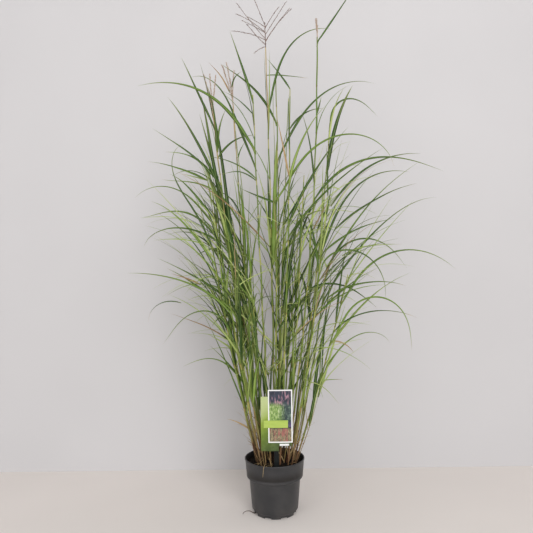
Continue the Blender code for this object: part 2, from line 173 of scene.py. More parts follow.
def speckle(tree, place, scale, detail=3.0, rough=0.55, stretch=0.0):
    """A noise value at a place."""
    inputs = {"Scale": scale, "Detail": detail, "Roughness": rough, "Distortion": stretch}
    return add(tree, "ShaderNodeTexNoise", Vector=place, **inputs).outputs[0]


def relief(tree, shader, height, distance, strength=0.5):
    """Bump from a height value."""
    bump = add(tree, "ShaderNodeBump", Height=height, Distance=distance, Strength=strength)
    tree.links.new(bump.outputs[0], shader.inputs["Normal"])


# %% [markdown]
# ## Leaf blade material
# A miscanthus blade is satin green with a pale midrib and fine veins that run along it. No
# two blades have the same green: those in the sun are yellower, old ones turn straw at
# their tips. The mesh carries four numbers for this, and the shader only reads them:
# `along` from foot to tip, `across` from edge to edge, `tone` and `dry` for each blade.

# %% Leaf blade material
blade_mat, tree, shader = start_material("satin_grass_blade", 0.50, specular=0.20)
along = own_value(tree, "along")
across = own_value(tree, "across")
patches = speckle(tree, own_place(tree), 14.0)
shade = maths(tree, "MULTIPLY_ADD", patches, 0.44, -0.22)
shade = maths(tree, "ADD", shade, own_value(tree, "tone"), clamp=True)
green = ramp(
    tree,
    shade,
    (0.00, (0.010, 0.034, 0.007)),
    (0.35, (0.034, 0.086, 0.013)),
    (0.65, (0.160, 0.260, 0.038)),
    (1.00, (0.560, 0.640, 0.230)),
)
veins = maths(tree, "SINE", maths(tree, "MULTIPLY", across, 34.0))
vein_light = maths(tree, "MULTIPLY_ADD", veins, 0.07, 0.07)
green = blend(tree, vein_light, green, (0.20, 0.30, 0.05))
midrib = band(tree, maths(tree, "ABSOLUTE", across), 0.05, 0.15, 0.55, 0.0)
green = blend(tree, midrib, green, (0.400, 0.470, 0.200))
green = blend(tree, band(tree, along, 0.0, 0.10, 0.55, 0.0), green, (0.270, 0.310, 0.090))
green = blend(tree, band(tree, along, 0.50, 1.0, 0.0, 0.50), green, (0.340, 0.390, 0.120))
straw = ramp(tree, patches, (0.25, (0.240, 0.140, 0.060)), (0.75, (0.500, 0.370, 0.190)))
wither = maths(tree, "ADD", along, maths(tree, "MULTIPLY_ADD", patches, 0.30, -0.15))
wither = maths(tree, "ADD", wither, maths(tree, "MULTIPLY", own_value(tree, "dry"), 1.25))
green = blend(tree, band(tree, wither, 0.97, 1.12), green, straw)
tree.links.new(green, shader.inputs["Base Color"])
tree.links.new(band(tree, patches, 0.2, 0.8, 0.42, 0.60), shader.inputs["Roughness"])
ridges = maths(tree, "SUBTRACT", veins, maths(tree, "MULTIPLY", midrib, 3.0))
relief(tree, shader, ridges, 0.0002, 0.35)
print("material:", blade_mat.name)

# %% [markdown]
# ## Stem material
# The stems are tan and reddish brown where they leave the soil, yellow-green above, and
# straw-coloured again under a plume. Green leaf sheaths wrap them from one ring to the
# next. Height gives the first change, so the shader reads the piece's own coordinates, and
# the mesh carries `sheath`, `ring`, `tone` and `dry`.

# %% Stem material
stem_mat, tree, shader = start_material("grass_stem", 0.50, specular=0.2)
height = add(tree, "ShaderNodeSeparateXYZ", Vector=own_place(tree)).outputs[2]
streaks = speckle(tree, own_place(tree, (90.0, 90.0, 9.0)), 1.0, 4.0)
rise = maths(tree, "ADD", height, maths(tree, "MULTIPLY_ADD", streaks, 0.16, -0.08))
rise = maths(tree, "ADD", rise, maths(tree, "MULTIPLY_ADD", own_value(tree, "tone"), -0.24, 0.12))
bare = ramp(
    tree,
    rise,
    (0.13, (0.075, 0.026, 0.016)),
    (0.19, (0.190, 0.095, 0.048)),
    (0.27, (0.290, 0.250, 0.075)),
    (0.60, (0.320, 0.360, 0.080)),
    (0.95, (0.340, 0.340, 0.100)),
)
wrapped = ramp(
    tree,
    rise,
    (0.13, (0.130, 0.060, 0.032)),
    (0.19, (0.200, 0.165, 0.055)),
    (0.27, (0.150, 0.210, 0.035)),
    (0.90, (0.105, 0.180, 0.026)),
)
colour = blend(tree, own_value(tree, "sheath"), bare, wrapped)
colour = blend(tree, band(tree, streaks, 0.35, 0.75, 0.0, 0.35), colour, (0.42, 0.36, 0.16))
ring_dark = maths(tree, "MULTIPLY", own_value(tree, "ring"), 0.75)
colour = blend(tree, ring_dark, colour, (0.16, 0.085, 0.035))
tan = ramp(tree, streaks, (0.25, (0.300, 0.180, 0.080)), (0.75, (0.520, 0.390, 0.210)))
colour = blend(tree, own_value(tree, "dry"), colour, tan)
tree.links.new(colour, shader.inputs["Base Color"])
relief(tree, shader, streaks, 0.0004, 0.4)
print("material:", stem_mat.name)

# %% [markdown]
# ## Reading stems and blades from the frame
# Each stem in the solid model is a tapered tube and each blade a long four-cornered sliver
# that ends in one point. Walking a sliver's mesh from that point, edge by edge, gives its
# cross-sections one after another. The middle of each is a point on the blade's spine and
# its long diagonal is the blade's width.


# %% Reading stems and blades from the frame
def merged(node_name):
    """A copy of a frame mesh with its loose triangles joined, as a bmesh."""
    shape = bmesh.new()
    shape.from_mesh(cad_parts[node_name].data)
    bmesh.ops.remove_doubles(shape, verts=shape.verts, dist=0.000002)
    return shape


def stem_line(node_name):
    """A stem's middle points and radii, from its rings of vertices sorted by height."""
    shape = merged(node_name)
    corners = np.array([v.co for v in shape.verts])
    shape.free()
    corners = corners[corners[:, 2].argsort()]
    rings = np.split(corners, np.where(np.diff(corners[:, 2]) > 0.012)[0] + 1)
    middles = np.array([ring.mean(0) for ring in rings])
    radii = np.array([np.linalg.norm(r - r.mean(0), axis=1).max() for r in rings])
    return middles, radii


def blade_rings(node_name):
    """A blade's cross-sections, foot first, and its tip, found by walking its mesh."""
    shape = merged(node_name)
    for start in shape.verts:
        rings, seen, front = [], {start}, [start]
        while front and len(start.link_edges) == 4:
            front = list({e.other_vert(v) for v in front for e in v.link_edges} - seen)
            seen.update(front)
            if front:
                rings.append(np.array([v.co for v in front]))
        if rings and all(len(ring) == 4 for ring in rings):
            tip = np.array(start.co)
            shape.free()
            return rings[::-1], tip
    raise ValueError(f"{node_name} is not a sliver with one tip")


def blade_spine(node_name):
    """A blade's spine, half-widths and side direction at each cross-section."""
    rings, tip = blade_rings(node_name)
    half, side = [], []
    for ring in rings:
        reach = np.linalg.norm(ring - ring.mean(0), axis=1)
        far = ring[reach.argmax()] - ring.mean(0)
        if side and far @ side[-1] < 0:
            far = -far
        half.append(np.linalg.norm(far))
        side.append(far / half[-1])
    spine = np.array([*(ring.mean(0) for ring in rings), tip])
    return spine, np.array([*half, 0.0]), np.array([*side, side[-1]])


STEM_NODES = sorted(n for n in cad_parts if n.startswith("culm_"))
BLADE_NODES = sorted(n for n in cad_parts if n.startswith("leaf_"))
stem_lines = [stem_line(n) for n in STEM_NODES]
blade_spines = [blade_spine(n) for n in BLADE_NODES]
SOIL_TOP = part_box("potting_soil")[1].z
print("stems read:", len(stem_lines), "blades read:", len(blade_spines))


# %% [markdown]
# ## Smooth lines and keeping a piece
# Eight or twelve stations are enough for a solid, but not for a smooth curve. `resampled`
# runs a smooth curve through them. `keep` makes the object, gives it its material and ties
# it to the frame: what it rides on and which solids it stands for.


# %% Smooth lines and keeping a piece
def resampled(points, shares):
    """Points at the given shares of a smooth line's length."""
    points = np.asarray(points, float)
    at = np.concatenate([[0.0], np.cumsum(np.linalg.norm(np.diff(points, axis=0), axis=1))])
    slopes = np.gradient(points, at, axis=0)
    t = np.asarray(shares) * at[-1]
    k = np.clip(np.searchsorted(at, t, side="right") - 1, 0, len(at) - 2)
    h = (at[k + 1] - at[k])[:, None]
    u = (t - at[k])[:, None] / h
    start = points[k] * (1 + 2 * u) * (1 - u) ** 2 + slopes[k] * h * u * (1 - u) ** 2
    end = points[k + 1] * u**2 * (3 - 2 * u) + slopes[k + 1] * h * u**2 * (u - 1)
    return start + end


def directions(line):
    """The unit direction of a line at each of its points."""
    steps = np.gradient(line, axis=0)
    return steps / np.linalg.norm(steps, axis=1)[:, None]


PLANT = bpy.data.collections.new("plant")
bpy.context.scene.collection.children.link(PLANT)


def keep(name, mesh, stands_for=(), mat=None, smooth=True):
    """A finished piece: its object, material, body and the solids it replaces."""
    obj = bpy.data.objects.new(name, mesh)
    PLANT.objects.link(obj)
    if mat:
        mesh.materials.clear()
        mesh.materials.append(mat)
    mesh.shade_smooth() if smooth else mesh.shade_flat()
    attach(obj, "root")
    if stands_for:
        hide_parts(*stands_for)
    return obj


def line_mesh(name, lines):
    """Several lines as one mesh of edges; each line is its points and its own numbers."""
    mesh = bpy.data.meshes.new(name)
    points = np.concatenate([line["points"] for line in lines])
    edges, first = [], 0
    for line in lines:
        count = len(line["points"])
        edges += [(first + i, first + i + 1) for i in range(count - 1)]
        first += count
    mesh.from_pydata(points.tolist(), edges, [])
    for key in lines[0]:
        if key != "points":
            numbers = mesh.attributes.new(key, "FLOAT", "POINT")
            numbers.data.foreach_set("value", np.concatenate([line[key] for line in lines]))
    return mesh


def new_tree(name, **extra_inputs):
    """An empty Geometry Nodes tree with named inputs, its input node and output node."""
    tree = bpy.data.node_groups.new(name, "GeometryNodeTree")
    tree.interface.new_socket("Geometry", in_out="INPUT", socket_type="NodeSocketGeometry")
    for label, kind in extra_inputs.items():
        tree.interface.new_socket(label, in_out="INPUT", socket_type=f"NodeSocket{kind}")
    tree.interface.new_socket("Geometry", in_out="OUTPUT", socket_type="NodeSocketGeometry")
    return tree, tree.nodes.new("NodeGroupInput"), tree.nodes.new("NodeGroupOutput")


def grown(mesh, tree, **inputs):
    """Runs a Geometry Nodes tree on a mesh and returns the result as a plain mesh."""
    maker = bpy.data.objects.new("maker", mesh)
    bpy.context.scene.collection.objects.link(maker)
    step = maker.modifiers.new("grow", "NODES")
    step.node_group = tree
    for item in tree.interface.items_tree:
        if item.in_out == "INPUT" and item.name in inputs:
            step[item.identifier] = inputs[item.name]
    graph = bpy.context.evaluated_depsgraph_get()
    result = bpy.data.meshes.new_from_object(maker.evaluated_get(graph))
    bpy.data.objects.remove(maker, do_unlink=True)
    return result


# %% [markdown]
# ## A tree that turns lines into stems
# A stem follows a line and its thickness changes along it, so the tree turns the edges into
# a curve, sweeps a circle along it scaled by the line's own `radius`, fills its ends and
# sets its material. The numbers on the line carry over to the stem for the shader.

# %% The stem tree
stem_tree, given, made = new_tree("line_to_stem", Sides="Int", Look="Material")
curve = add(stem_tree, "GeometryNodeMeshToCurve", Mesh=given.outputs["Geometry"])
circle = add(stem_tree, "GeometryNodeCurvePrimitiveCircle", Resolution=given.outputs["Sides"])
circle.inputs["Radius"].default_value = 1.0
radius = add(stem_tree, "GeometryNodeInputNamedAttribute", {"data_type": "FLOAT"}, Name="thick")
swept = add(
    stem_tree,
    "GeometryNodeCurveToMesh",
    Curve=curve.outputs[0],
    Profile_Curve=circle.outputs[0],
    Scale=radius.outputs[0],
    Fill_Caps=True,
)
smooth = add(stem_tree, "GeometryNodeSetShadeSmooth", Geometry=swept.outputs[0])
looked = add(
    stem_tree, "GeometryNodeSetMaterial", Geometry=smooth.outputs[0], Material=given.outputs["Look"]
)
stem_tree.links.new(looked.outputs[0], made.inputs[0])
print("tree:", stem_tree.name)


# %% [markdown]
# ## Rings, sheaths and tillers
# A grass stem has a slightly swollen ring every hand's breadth. From each ring a leaf sheath
# wraps the stem and thickens it a little, until its blade leaves. The clump also has
# thinner young stems, called tillers, that stand close beside those of the solid model and
# part from them slowly. They are seeded, and one that would run into another stem, or pass
# in front of the plant label, is drawn again.


# %% Rings, sheaths and tillers
def dressed_stem(line, radii, seed, dry=0.0, rings_from=0.05):
    """A stem's fine line with its rings and sheaths, and the numbers its shader reads."""
    rng = np.random.default_rng(seed)
    length = np.linalg.norm(np.diff(line, axis=0), axis=1).sum()
    ring_at, here = [], rings_from + rng.uniform(0.0, 0.04)
    while here < length - 0.03:
        ring_at.append(here)
        here += rng.uniform(0.085, 0.150)
    ends = [a + (b - a) * rng.uniform(0.62, 0.95) for a, b in zip(ring_at, [*ring_at[1:], length])]
    marks = [m + d for m in ring_at for d in (-0.003, -0.001, 0.001, 0.003)]
    marks += [m + d for m in ends for d in (-0.0008, 0.0008)]
    at = np.concatenate([np.arange(0.0, length, 0.014), marks, [length]])
    at = np.unique(np.clip(at, 0.0, length).round(5))
    points = resampled(line, at / length)
    phase = rng.uniform(0, 6.28, 2)
    loose = 0.0009 * np.minimum(1.0, at / 0.15) * np.minimum(1.0, (length - at) / 0.1)
    points[:, 0] += loose * np.sin(at * 31 + phase[0])
    points[:, 1] += loose * np.sin(at * 27 + phase[1])
    thick = np.interp(at / length, np.linspace(0, 1, len(radii)), radii)
    ring = sum(np.exp(-(((at - m) / 0.0018) ** 2)) for m in ring_at) + at * 0
    sheath = at * 0
    for low, high in zip(ring_at, ends):
        sheath[(at > low) & (at < high)] = 1.0
    share = np.minimum(1.0, thick / 0.002)
    return {
        "points": points,
        "thick": thick + share * (0.0004 * ring + 0.00035 * sheath),
        "ring": ring,
        "sheath": sheath,
        "tone": at * 0 + rng.uniform(0.2, 0.8),
        "dry": np.clip(at * 0 + dry, 0.0, 1.0),
    }


def at_height(line, z):
    """The point of a rising line at a height."""
    return np.array([np.interp(z, line[:, 2], line[:, 0]), np.interp(z, line[:, 2], line[:, 1]), z])


def too_near(line, others, room):
    """Whether a rising line comes closer than `room` to one of the others."""
    for z in np.arange(line[0, 2], line[-1, 2], 0.02):
        here = at_height(line, z)
        for other in others:
            if other[0, 2] < z < other[-1, 2]:
                if np.linalg.norm(here - at_height(other, z)) < room:
                    return True
    return False


LABEL_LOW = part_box("label_backing_with_stake")[0]
LABEL_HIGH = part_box("picture_card")[1]
LABEL_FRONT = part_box("name_strip")[0].y


def hides_label(line):
    """Whether a line passes in front of, or through, the plant label."""
    x, y, z = line.T
    beside = (x > LABEL_LOW.x - 0.006) & (x < LABEL_HIGH.x + 0.006)
    level = (z > SOIL_TOP + 0.01) & (z < LABEL_HIGH.z + 0.012)
    return bool((beside & level & (y < LABEL_HIGH.y + 0.008)).any())


# Tillers that stand out: foot x, foot y, top x, top y, top height, bow.
CLEAR_TILLERS = (
    (0.052, -0.020, 0.129, -0.050, 0.366, 0.004),
    (-0.024, -0.030, -0.100, -0.080, 1.105, 0.006),
    (0.012, 0.014, 0.052, 0.060, 1.170, -0.004),
    (0.004, 0.030, 0.008, 0.075, 1.215, 0.004),
    (-0.034, 0.022, -0.176, 0.062, 0.978, 0.016),
    (-0.038, -0.010, -0.106, -0.045, 0.420, -0.002),
)
tiller_lines = []
SIXTY = np.linspace(0.0, 1.0, 60)
rng = np.random.default_rng(5)


def tiller_line(foot_x, foot_y, top_x, top_y, top_z, bow):
    """Nine points of a tiller, straight up and out with a bow half-way."""
    share = np.linspace(0.0, 1.0, 9)
    x = foot_x + (top_x - foot_x) * share + 4 * share * (1 - share) * bow
    y = foot_y + (top_y - foot_y) * share
    return np.array([x, y, SOIL_TOP - 0.02 + (top_z - SOIL_TOP + 0.02) * share]).T


all_lines = [line for line, _ in stem_lines]
for row in CLEAR_TILLERS:
    tiller_lines.append(tiller_line(*row))
    all_lines.append(tiller_lines[-1])
TILLERS = 30
for _ in range(3000):
    if len(tiller_lines) >= TILLERS:
        break
    mother = stem_lines[int(rng.integers(len(stem_lines)))][0]
    around, gap = rng.uniform(0, 2 * pi), rng.uniform(0.0050, 0.0085)
    foot_x, foot_y = mother[0, 0] + gap * cos(around), mother[0, 1] + gap * sin(around)
    top_z = rng.uniform(0.36, 0.98)
    reach = at_height(mother, min(top_z, mother[-1, 2]))
    top_x = reach[0] + 0.035 * cos(around) + rng.normal(0, 0.012)
    top_y = reach[1] + 0.050 * sin(around) + rng.normal(0, 0.012)
    if foot_x**2 + foot_y**2 > 0.049**2 or foot_x < -0.040:
        continue
    line = tiller_line(foot_x, foot_y, top_x, top_y, top_z, foot_x * 0.10)
    if not too_near(line, all_lines, 0.0044) and not hides_label(resampled(line, SIXTY)):
        tiller_lines.append(line)
        all_lines.append(line)
print("tillers:", len(tiller_lines))

# %% Stems as pieces
# Stems with a plume: how far down the top is dry, how dry, and how much its sheath swells.
PLUME_STEMS = {1: (0.26, 0.8, 0.0), 2: (0.03, 0.5, 0.35), 3: (0.20, 0.9, 0.0), 4: (0.20, 0.9, 0.0)}
SWELLING_FROM_Z = 1.00
dressed = []
for number, (line, radii) in enumerate(stem_lines, 1):
    fine = dressed_stem(line, radii, seed=number)
    if number in PLUME_STEMS:
        reach, dryness, swelling = PLUME_STEMS[number]
        near_top = np.clip((fine["points"][:, 2] - line[-1, 2] + reach) / 0.10, 0.0, 1.0)
        fine["dry"] = near_top * dryness
        if swelling:
            upper = np.clip((fine["points"][:, 2] - SWELLING_FROM_Z) / 0.05, 0.0, 1.0)
            fine["sheath"] = np.maximum(fine["sheath"], upper)
            fine["thick"] = fine["thick"] * (1.0 + swelling * upper)
    dressed.append(fine)
    mesh = grown(line_mesh("stem", [fine]), stem_tree, Sides=10, Look=stem_mat)
    keep(f"stem_{number:02d}", mesh, [STEM_NODES[number - 1]])
fine_tillers = []
for number, line in enumerate(tiller_lines):
    thickness = np.linspace(1.0, 0.45, 9) * (0.0011 + 0.0007 * ((number * 7) % 5) / 4)
    fine_tillers.append(dressed_stem(line, thickness, seed=100 + number))
third = len(fine_tillers) // 3 + 1
for group in range(3):
    chosen = fine_tillers[group * third : (group + 1) * third]
    mesh = grown(line_mesh("tillers", chosen), stem_tree, Sides=8, Look=stem_mat)
    keep(f"tillers_{group + 1}", mesh)
    print("tillers", group + 1, "faces:", len(mesh.polygons))

# %% [markdown]
# ## Leaf blades
# A blade is a long thin strap: narrow at its sheath, widest at a quarter of its length, then
# tapering to a hair-fine point. It is folded in a shallow V along a midrib, its edges waver
# a little, and it twists. The loft below puts one closed cross-section at each station, with
# a raised midrib underneath, and ends in a single tip corner. The twelve-corner section is
# for the main blades, the eight-corner one for the many small ones.

# %% Lofting blades
FINE_SECTION = (
    [1.0, 0.6, 0.2, 0.0, -0.2, -0.6, -1.0, -0.6, -0.16, 0.0, 0.16, 0.6],
    [0, 0, 0, 0, 0, 0, 0, 1, 1, 3.2, 1, 1],
)
LIGHT_SECTION = (
    [1.0, 0.45, 0.0, -0.45, -1.0, -0.4, 0.0, 0.4],
    [0, 0, 0, 0, 0, 1, 2.6, 1],
)
BLADE_VALUES = ("along", "across", "tone", "dry")
SKIN = 0.00022


class Bundle:
    """Blades collected for one mesh: their corners, faces and the shader's numbers."""

    def __init__(self):
        self.points, self.faces, self.values, self.count = [], [], [], 0

    def loft(self, spine, half, side, section, count, rng, tone, dry, fold=0.32, wave=0.10):
        """Adds one blade along a spine with its half-widths and side directions."""
        across, under = np.array(section[0]), np.array(section[1], float)
        share = np.linspace(0.0, 1.0, count + 1)
        knots = np.linalg.norm(np.diff(spine, axis=0), axis=1).cumsum()
        knots = np.concatenate([[0.0], knots]) / knots[-1]
        line = resampled(spine, share)
        ahead = directions(line)
        width = np.interp(share, knots, half)[:, None]
        side = np.array([np.interp(share, knots, side[:, axis]) for axis in range(3)]).T
        side -= (side * ahead).sum(1)[:, None] * ahead
        side /= np.linalg.norm(side, axis=1)[:, None]
        face = np.cross(ahead, side)
        if face[: count // 2 + 3, 2].sum() < 0:
            side, face = -side, -face
        turns, phase = rng.uniform(2.0, 4.5), rng.uniform(0, 6.28)
        ripple = wave * np.sin(2 * pi * turns * share + phase)[:, None] * share[:, None] ** 0.5
        cup = fold * (1.0 + 1.2 * np.exp(-share[:, None] / 0.06))
        thick = SKIN * np.minimum(1.0, 0.3 + width / 0.003)
        rise = width * (np.abs(across) * cup + np.sign(across) * across**2 * ripple)
        rise = rise - under * thick
        reach = width * across / np.sqrt(1.0 + cup**2)
        rings = line[:, None, :] + reach[..., None] * side[:, None, :]
        rings = rings + rise[..., None] * face[:, None, :]
        size, body = len(across), rings[:-1].reshape(-1, 3)
        first = self.count
        self.points += [body, line[-1:]]
        for i in range(count - 1):
            row = first + i * size
            for j in range(size):
                k = (j + 1) % size
                self.faces.append((row + j, row + k, row + size + k, row + size + j))
        last, tip = first + (count - 1) * size, first + count * size
        self.faces += [(last + j, last + (j + 1) % size, tip) for j in range(size)]
        self.faces.append(tuple(first + j for j in reversed(range(size))))
        rows = np.zeros((count * size + 1, 4))
        rows[:-1, 0] = np.repeat(share[:-1], size)
        rows[:-1, 1] = np.tile(across, count)
        rows[-1, 0] = 1.0
        rows[:, 2], rows[:, 3] = tone, dry
        self.values.append(rows)
        self.count += count * size + 1

    def mesh(self, name):
        """The bundle as one mesh."""
        made = bpy.data.meshes.new(name)
        made.from_pydata(np.concatenate(self.points).tolist(), [], self.faces)
        values = np.concatenate(self.values)
        for column, key in enumerate(BLADE_VALUES):
            numbers = made.attributes.new(key, "FLOAT", "POINT")
            numbers.data.foreach_set("value", np.ascontiguousarray(values[:, column]))
        return made


def width_law(share):
    """How wide a blade is along its length, as a share of its full width."""
    return (0.60 + 0.40 * np.minimum(1.0, share / 0.20)) * (1 - share**1.5)


# Each main blade in turn: how light its green is, how dry it is, and how much narrower it
# gets towards its tip than its solid.
MAIN_LOOKS = (
    (0.50, 0.00, 0.70), (0.45, 0.02, 0.70), (0.60, 0.05, 0.70), (0.35, 0.00, 0.65),
    (0.40, 0.00, 0.70), (0.32, 0.02, 0.50), (0.50, 0.03, 0.70), (0.60, 0.05, 0.70),
    (0.36, 0.00, 0.70), (0.14, 0.00, 0.00), (0.45, 0.02, 0.75), (0.30, 0.06, 0.80),
    (0.35, 0.00, 0.60), (0.36, 0.00, 0.60), (0.36, 0.00, 0.60), (0.50, 0.00, 0.75),
    (0.30, 0.00, 0.50), (0.26, 0.00, 0.40), (0.20, 0.02, 0.30), (0.26, 0.00, 0.60),
    (0.62, 0.04, 0.60), (0.60, 0.08, 0.70), (0.50, 0.04, 0.70), (0.64, 0.02, 0.50),
    (0.42, 0.02, 0.70), (0.55, 0.06, 0.60), (0.45, 0.04, 0.70), (0.60, 0.05, 0.70),
    (0.55, 0.06, 0.70), (0.55, 0.05, 0.70), (0.45, 0.05, 0.70), (0.66, 0.00, 0.00),
    (0.40, 0.03, 0.60),
)
stem_feet = [line for line, _ in stem_lines]


def nearest_stem(point, lines):
    """The line that passes nearest to a point at the point's height."""
    fits = [line for line in lines if line[0, 2] < point[2] < line[-1, 2] + 0.02]
    gaps = [np.linalg.norm(at_height(line, point[2]) - point) for line in fits]
    return fits[int(np.argmin(gaps))]


for number, (spine, half, side) in enumerate(blade_spines, 1):
    own_stem = nearest_stem(spine[0], stem_feet)
    collar = at_height(own_stem, spine[0][2] - 0.014)
    spine = np.array([collar, *spine])
    half = np.array([half[0] * 0.9, *half])
    side = np.array([side[0], *side])
    tone, dry, slimming = MAIN_LOOKS[number - 1]
    bundle = Bundle()
    rng = np.random.default_rng(300 + number)
    slim = 1.08 - slimming * np.linspace(0.0, 1.0, len(half))
    bundle.loft(spine, half * slim, side, FINE_SECTION, 40, rng, tone, dry)
    mesh = bundle.mesh("blade")
    keep(f"blade_{number:02d}", mesh, [BLADE_NODES[number - 1]], blade_mat)
print("main blades:", len(blade_spines))

# %% [markdown]
# ## The many smaller blades
# Between the main blades there are hundreds of smaller ones. Some stand out against the
# background and are listed, each by its foot, four slopes, length, sideways drift and how
# dry it is. The rest are seeded: a blade leaves a stem somewhere along it, rises steeply,
# then arches outwards, the lower ones sooner. A blade that would leave the plant's own
# space is drawn again. All of them are dealt out in turn to twelve bundles, one to a piece.

# %% The many smaller blades
# Foot x, foot height, slopes at foot, third, two thirds and tip (degrees), length, drift
# in y, width, how dry.
CLEAR_BLADES = (
    (0.137, 1.103, (73, 73, 75, 78), 0.050, -0.01, 0.006, 0.1),
    (0.052, 1.168, (120, 124, 126, 128), 0.112, 0.02, 0.006, 0.1),
    (0.010, 1.222, (4, -8, -10, -14), 0.120, -0.02, 0.004, 0.2),
    (0.066, 1.058, (60, 42, 15, -9), 0.112, -0.03, 0.006, 0.1),
    (-0.157, 1.080, (101, 101, 103, 105), 0.158, -0.02, 0.008, 0.0),
    (-0.114, 1.175, (112, 118, 129, 133), 0.110, 0.02, 0.0050, 0.8),
    (-0.107, 1.190, (82, 72, 50, 34), 0.056, 0.01, 0.007, 0.1),
    (-0.055, 1.095, (128, 133, 144, 154), 0.116, 0.03, 0.005, 0.1),
    (-0.121, 0.911, (127, 136, 147, 148), 0.230, -0.05, 0.009, 0.0),
    (-0.160, 0.925, (150, 158, 162, 172), 0.185, 0.05, 0.008, 0.1),
    (-0.175, 0.960, (138, 150, 172, 184), 0.120, -0.03, 0.007, 0.1),
    (-0.170, 0.820, (128, 127, 134, 157), 0.185, 0.03, 0.009, 0.0),
    (-0.190, 0.925, (160, 163, 163, 166), 0.080, 0.02, 0.005, 0.2),
    (-0.108, 0.763, (104, 107, 109, 110), 0.227, -0.03, 0.013, 0.0),
    (-0.128, 0.985, (58, 40, 12, -5), 0.128, -0.04, 0.007, 0.0),
    (-0.140, 1.000, (88, 84, 72, 60), 0.118, -0.02, 0.008, 0.0),
    (-0.084, 0.980, (80, 72, 66, 64), 0.050, 0.02, 0.008, 0.0),
    (-0.035, 0.925, (132, 148, 162, 176), 0.165, 0.04, 0.006, 0.1),
    (-0.037, 0.920, (138, 156, 194, 198), 0.108, -0.04, 0.006, 0.1),
    (-0.016, 0.862, (158, 160, 158, 156), 0.110, -0.05, 0.010, 0.0),
    (0.050, 0.796, (72, 61, 55, 46), 0.310, -0.05, 0.010, 0.0),
    (0.163, 0.852, (57, 42, 20, -2), 0.320, 0.06, 0.009, 0.0),
    (0.180, 0.790, (46, 33, 26, 10), 0.265, -0.03, 0.008, 0.1),
    (0.140, 0.725, (42, 31, 16, 10), 0.238, 0.05, 0.008, 0.0),
    (0.200, 0.715, (34, 14, 2, 0), 0.170, -0.03, 0.007, 0.1),
    (0.146, 0.503, (52, 22, -2, -24), 0.245, -0.04, 0.009, 0.12),
    (0.120, 0.550, (48, 31, 12, -2), 0.226, 0.05, 0.009, 0.0),
    (0.150, 0.600, (40, 17, 2, -20), 0.216, -0.06, 0.007, 0.1),
    (0.110, 0.620, (34, -6, -34, -42), 0.230, 0.06, 0.009, 0.05),
    (0.128, 0.366, (30, 10, 6, 4), 0.065, -0.02, 0.007, 0.3),
    (0.150, 0.480, (10, -20, -40, -60), 0.080, 0.02, 0.006, 0.7),
    (-0.150, 0.735, (150, 190, 206, 214), 0.070, -0.02, 0.007, 0.1),
    (-0.092, 0.567, (127, 143, 150, 154), 0.260, -0.06, 0.009, 0.0),
    (-0.120, 0.566, (138, 146, 147, 158), 0.222, 0.05, 0.009, 0.1),
    (-0.200, 0.640, (150, 158, 163, 165), 0.092, 0.02, 0.006, 0.8),
    (-0.098, 0.463, (135, 146, 156, 156), 0.208, -0.06, 0.007, 0.6),
    (-0.118, 0.556, (170, 196, 222, 248), 0.066, -0.03, 0.007, 0.1),
    (-0.086, 0.444, (139, 146, 151, 160), 0.108, 0.03, 0.007, 0.1),
    (-0.078, 0.342, (108, 126, 129, 134), 0.172, -0.05, 0.008, 0.0),
    (-0.060, 0.236, (138, 146, 152, 166), 0.076, -0.02, 0.006, 0.9),
    (-0.068, 0.274, (112, 114, 116, 120), 0.046, 0.01, 0.007, 0.3),
    (-0.255, 0.590, (160, 190, 225, 268), 0.130, 0.03, 0.004, 0.2),
    (0.195, 0.905, (150, 166, 188, 206), 0.056, 0.02, 0.005, 0.1),
    (0.060, 0.900, (84, 72, 60, 44), 0.240, -0.04, 0.009, 0.0),
    (0.050, 0.930, (100, 100, 101, 104), 0.180, 0.02, 0.006, 0.9),
    (0.004, 0.780, (92, 94, 96, 100), 0.100, -0.03, 0.006, 0.9),
    (-0.009, 1.060, (93, 93, 92, 92), 0.225, -0.01, 0.006, 0.0),
    (-0.009, 1.050, (88, 88, 89, 89), 0.245, 0.0, 0.0055, 0.1),
    (-0.005, 0.640, (100, 106, 108, 112), 0.230, -0.08, 0.012, 0.0),
)
# Broad dark blades at the left: foot x, foot height, slopes, length, drift, width.
BROAD_BLADES = (
    (-0.086, 0.600, (97, 102, 108, 114), 0.400, -0.03, 0.0180),
    (-0.094, 0.650, (98, 102, 104, 106), 0.480, 0.03, 0.0130),
    (-0.074, 0.560, (98, 103, 107, 112), 0.320, 0.02, 0.0140),
    (-0.122, 0.790, (103, 101, 98, 102), 0.385, 0.01, 0.0120),
    (-0.112, 0.780, (98, 96, 99, 102), 0.405, -0.02, 0.0125),
    (0.030, 0.560, (84, 82, 80, 78), 0.300, -0.03, 0.0130),
)
LOW_LIMIT, HIGH_LIMIT = CAD_LOW - ROOM * 0.7, CAD_HIGH + ROOM * 0.7


def arc_line(foot, slopes, length, azimuth=0.0, drift=0.0, count=16):
    """A line from a foot that follows slopes in one upright plane, drifting sideways."""
    share = np.linspace(0.0, 1.0, count)
    slope = np.radians(np.interp((share[:-1] + share[1:]) / 2, np.linspace(0, 1, 4), slopes))
    out = np.concatenate([[0.0], np.cumsum(np.cos(slope))]) * length / (count - 1)
    up = np.concatenate([[0.0], np.cumsum(np.sin(slope))]) * length / (count - 1)
    aside = drift * share**1.5
    x = foot[0] + out * cos(azimuth) - aside * sin(azimuth)
    y = foot[1] + out * sin(azimuth) + aside * cos(azimuth)
    return np.array([x, y, foot[2] + up]).T


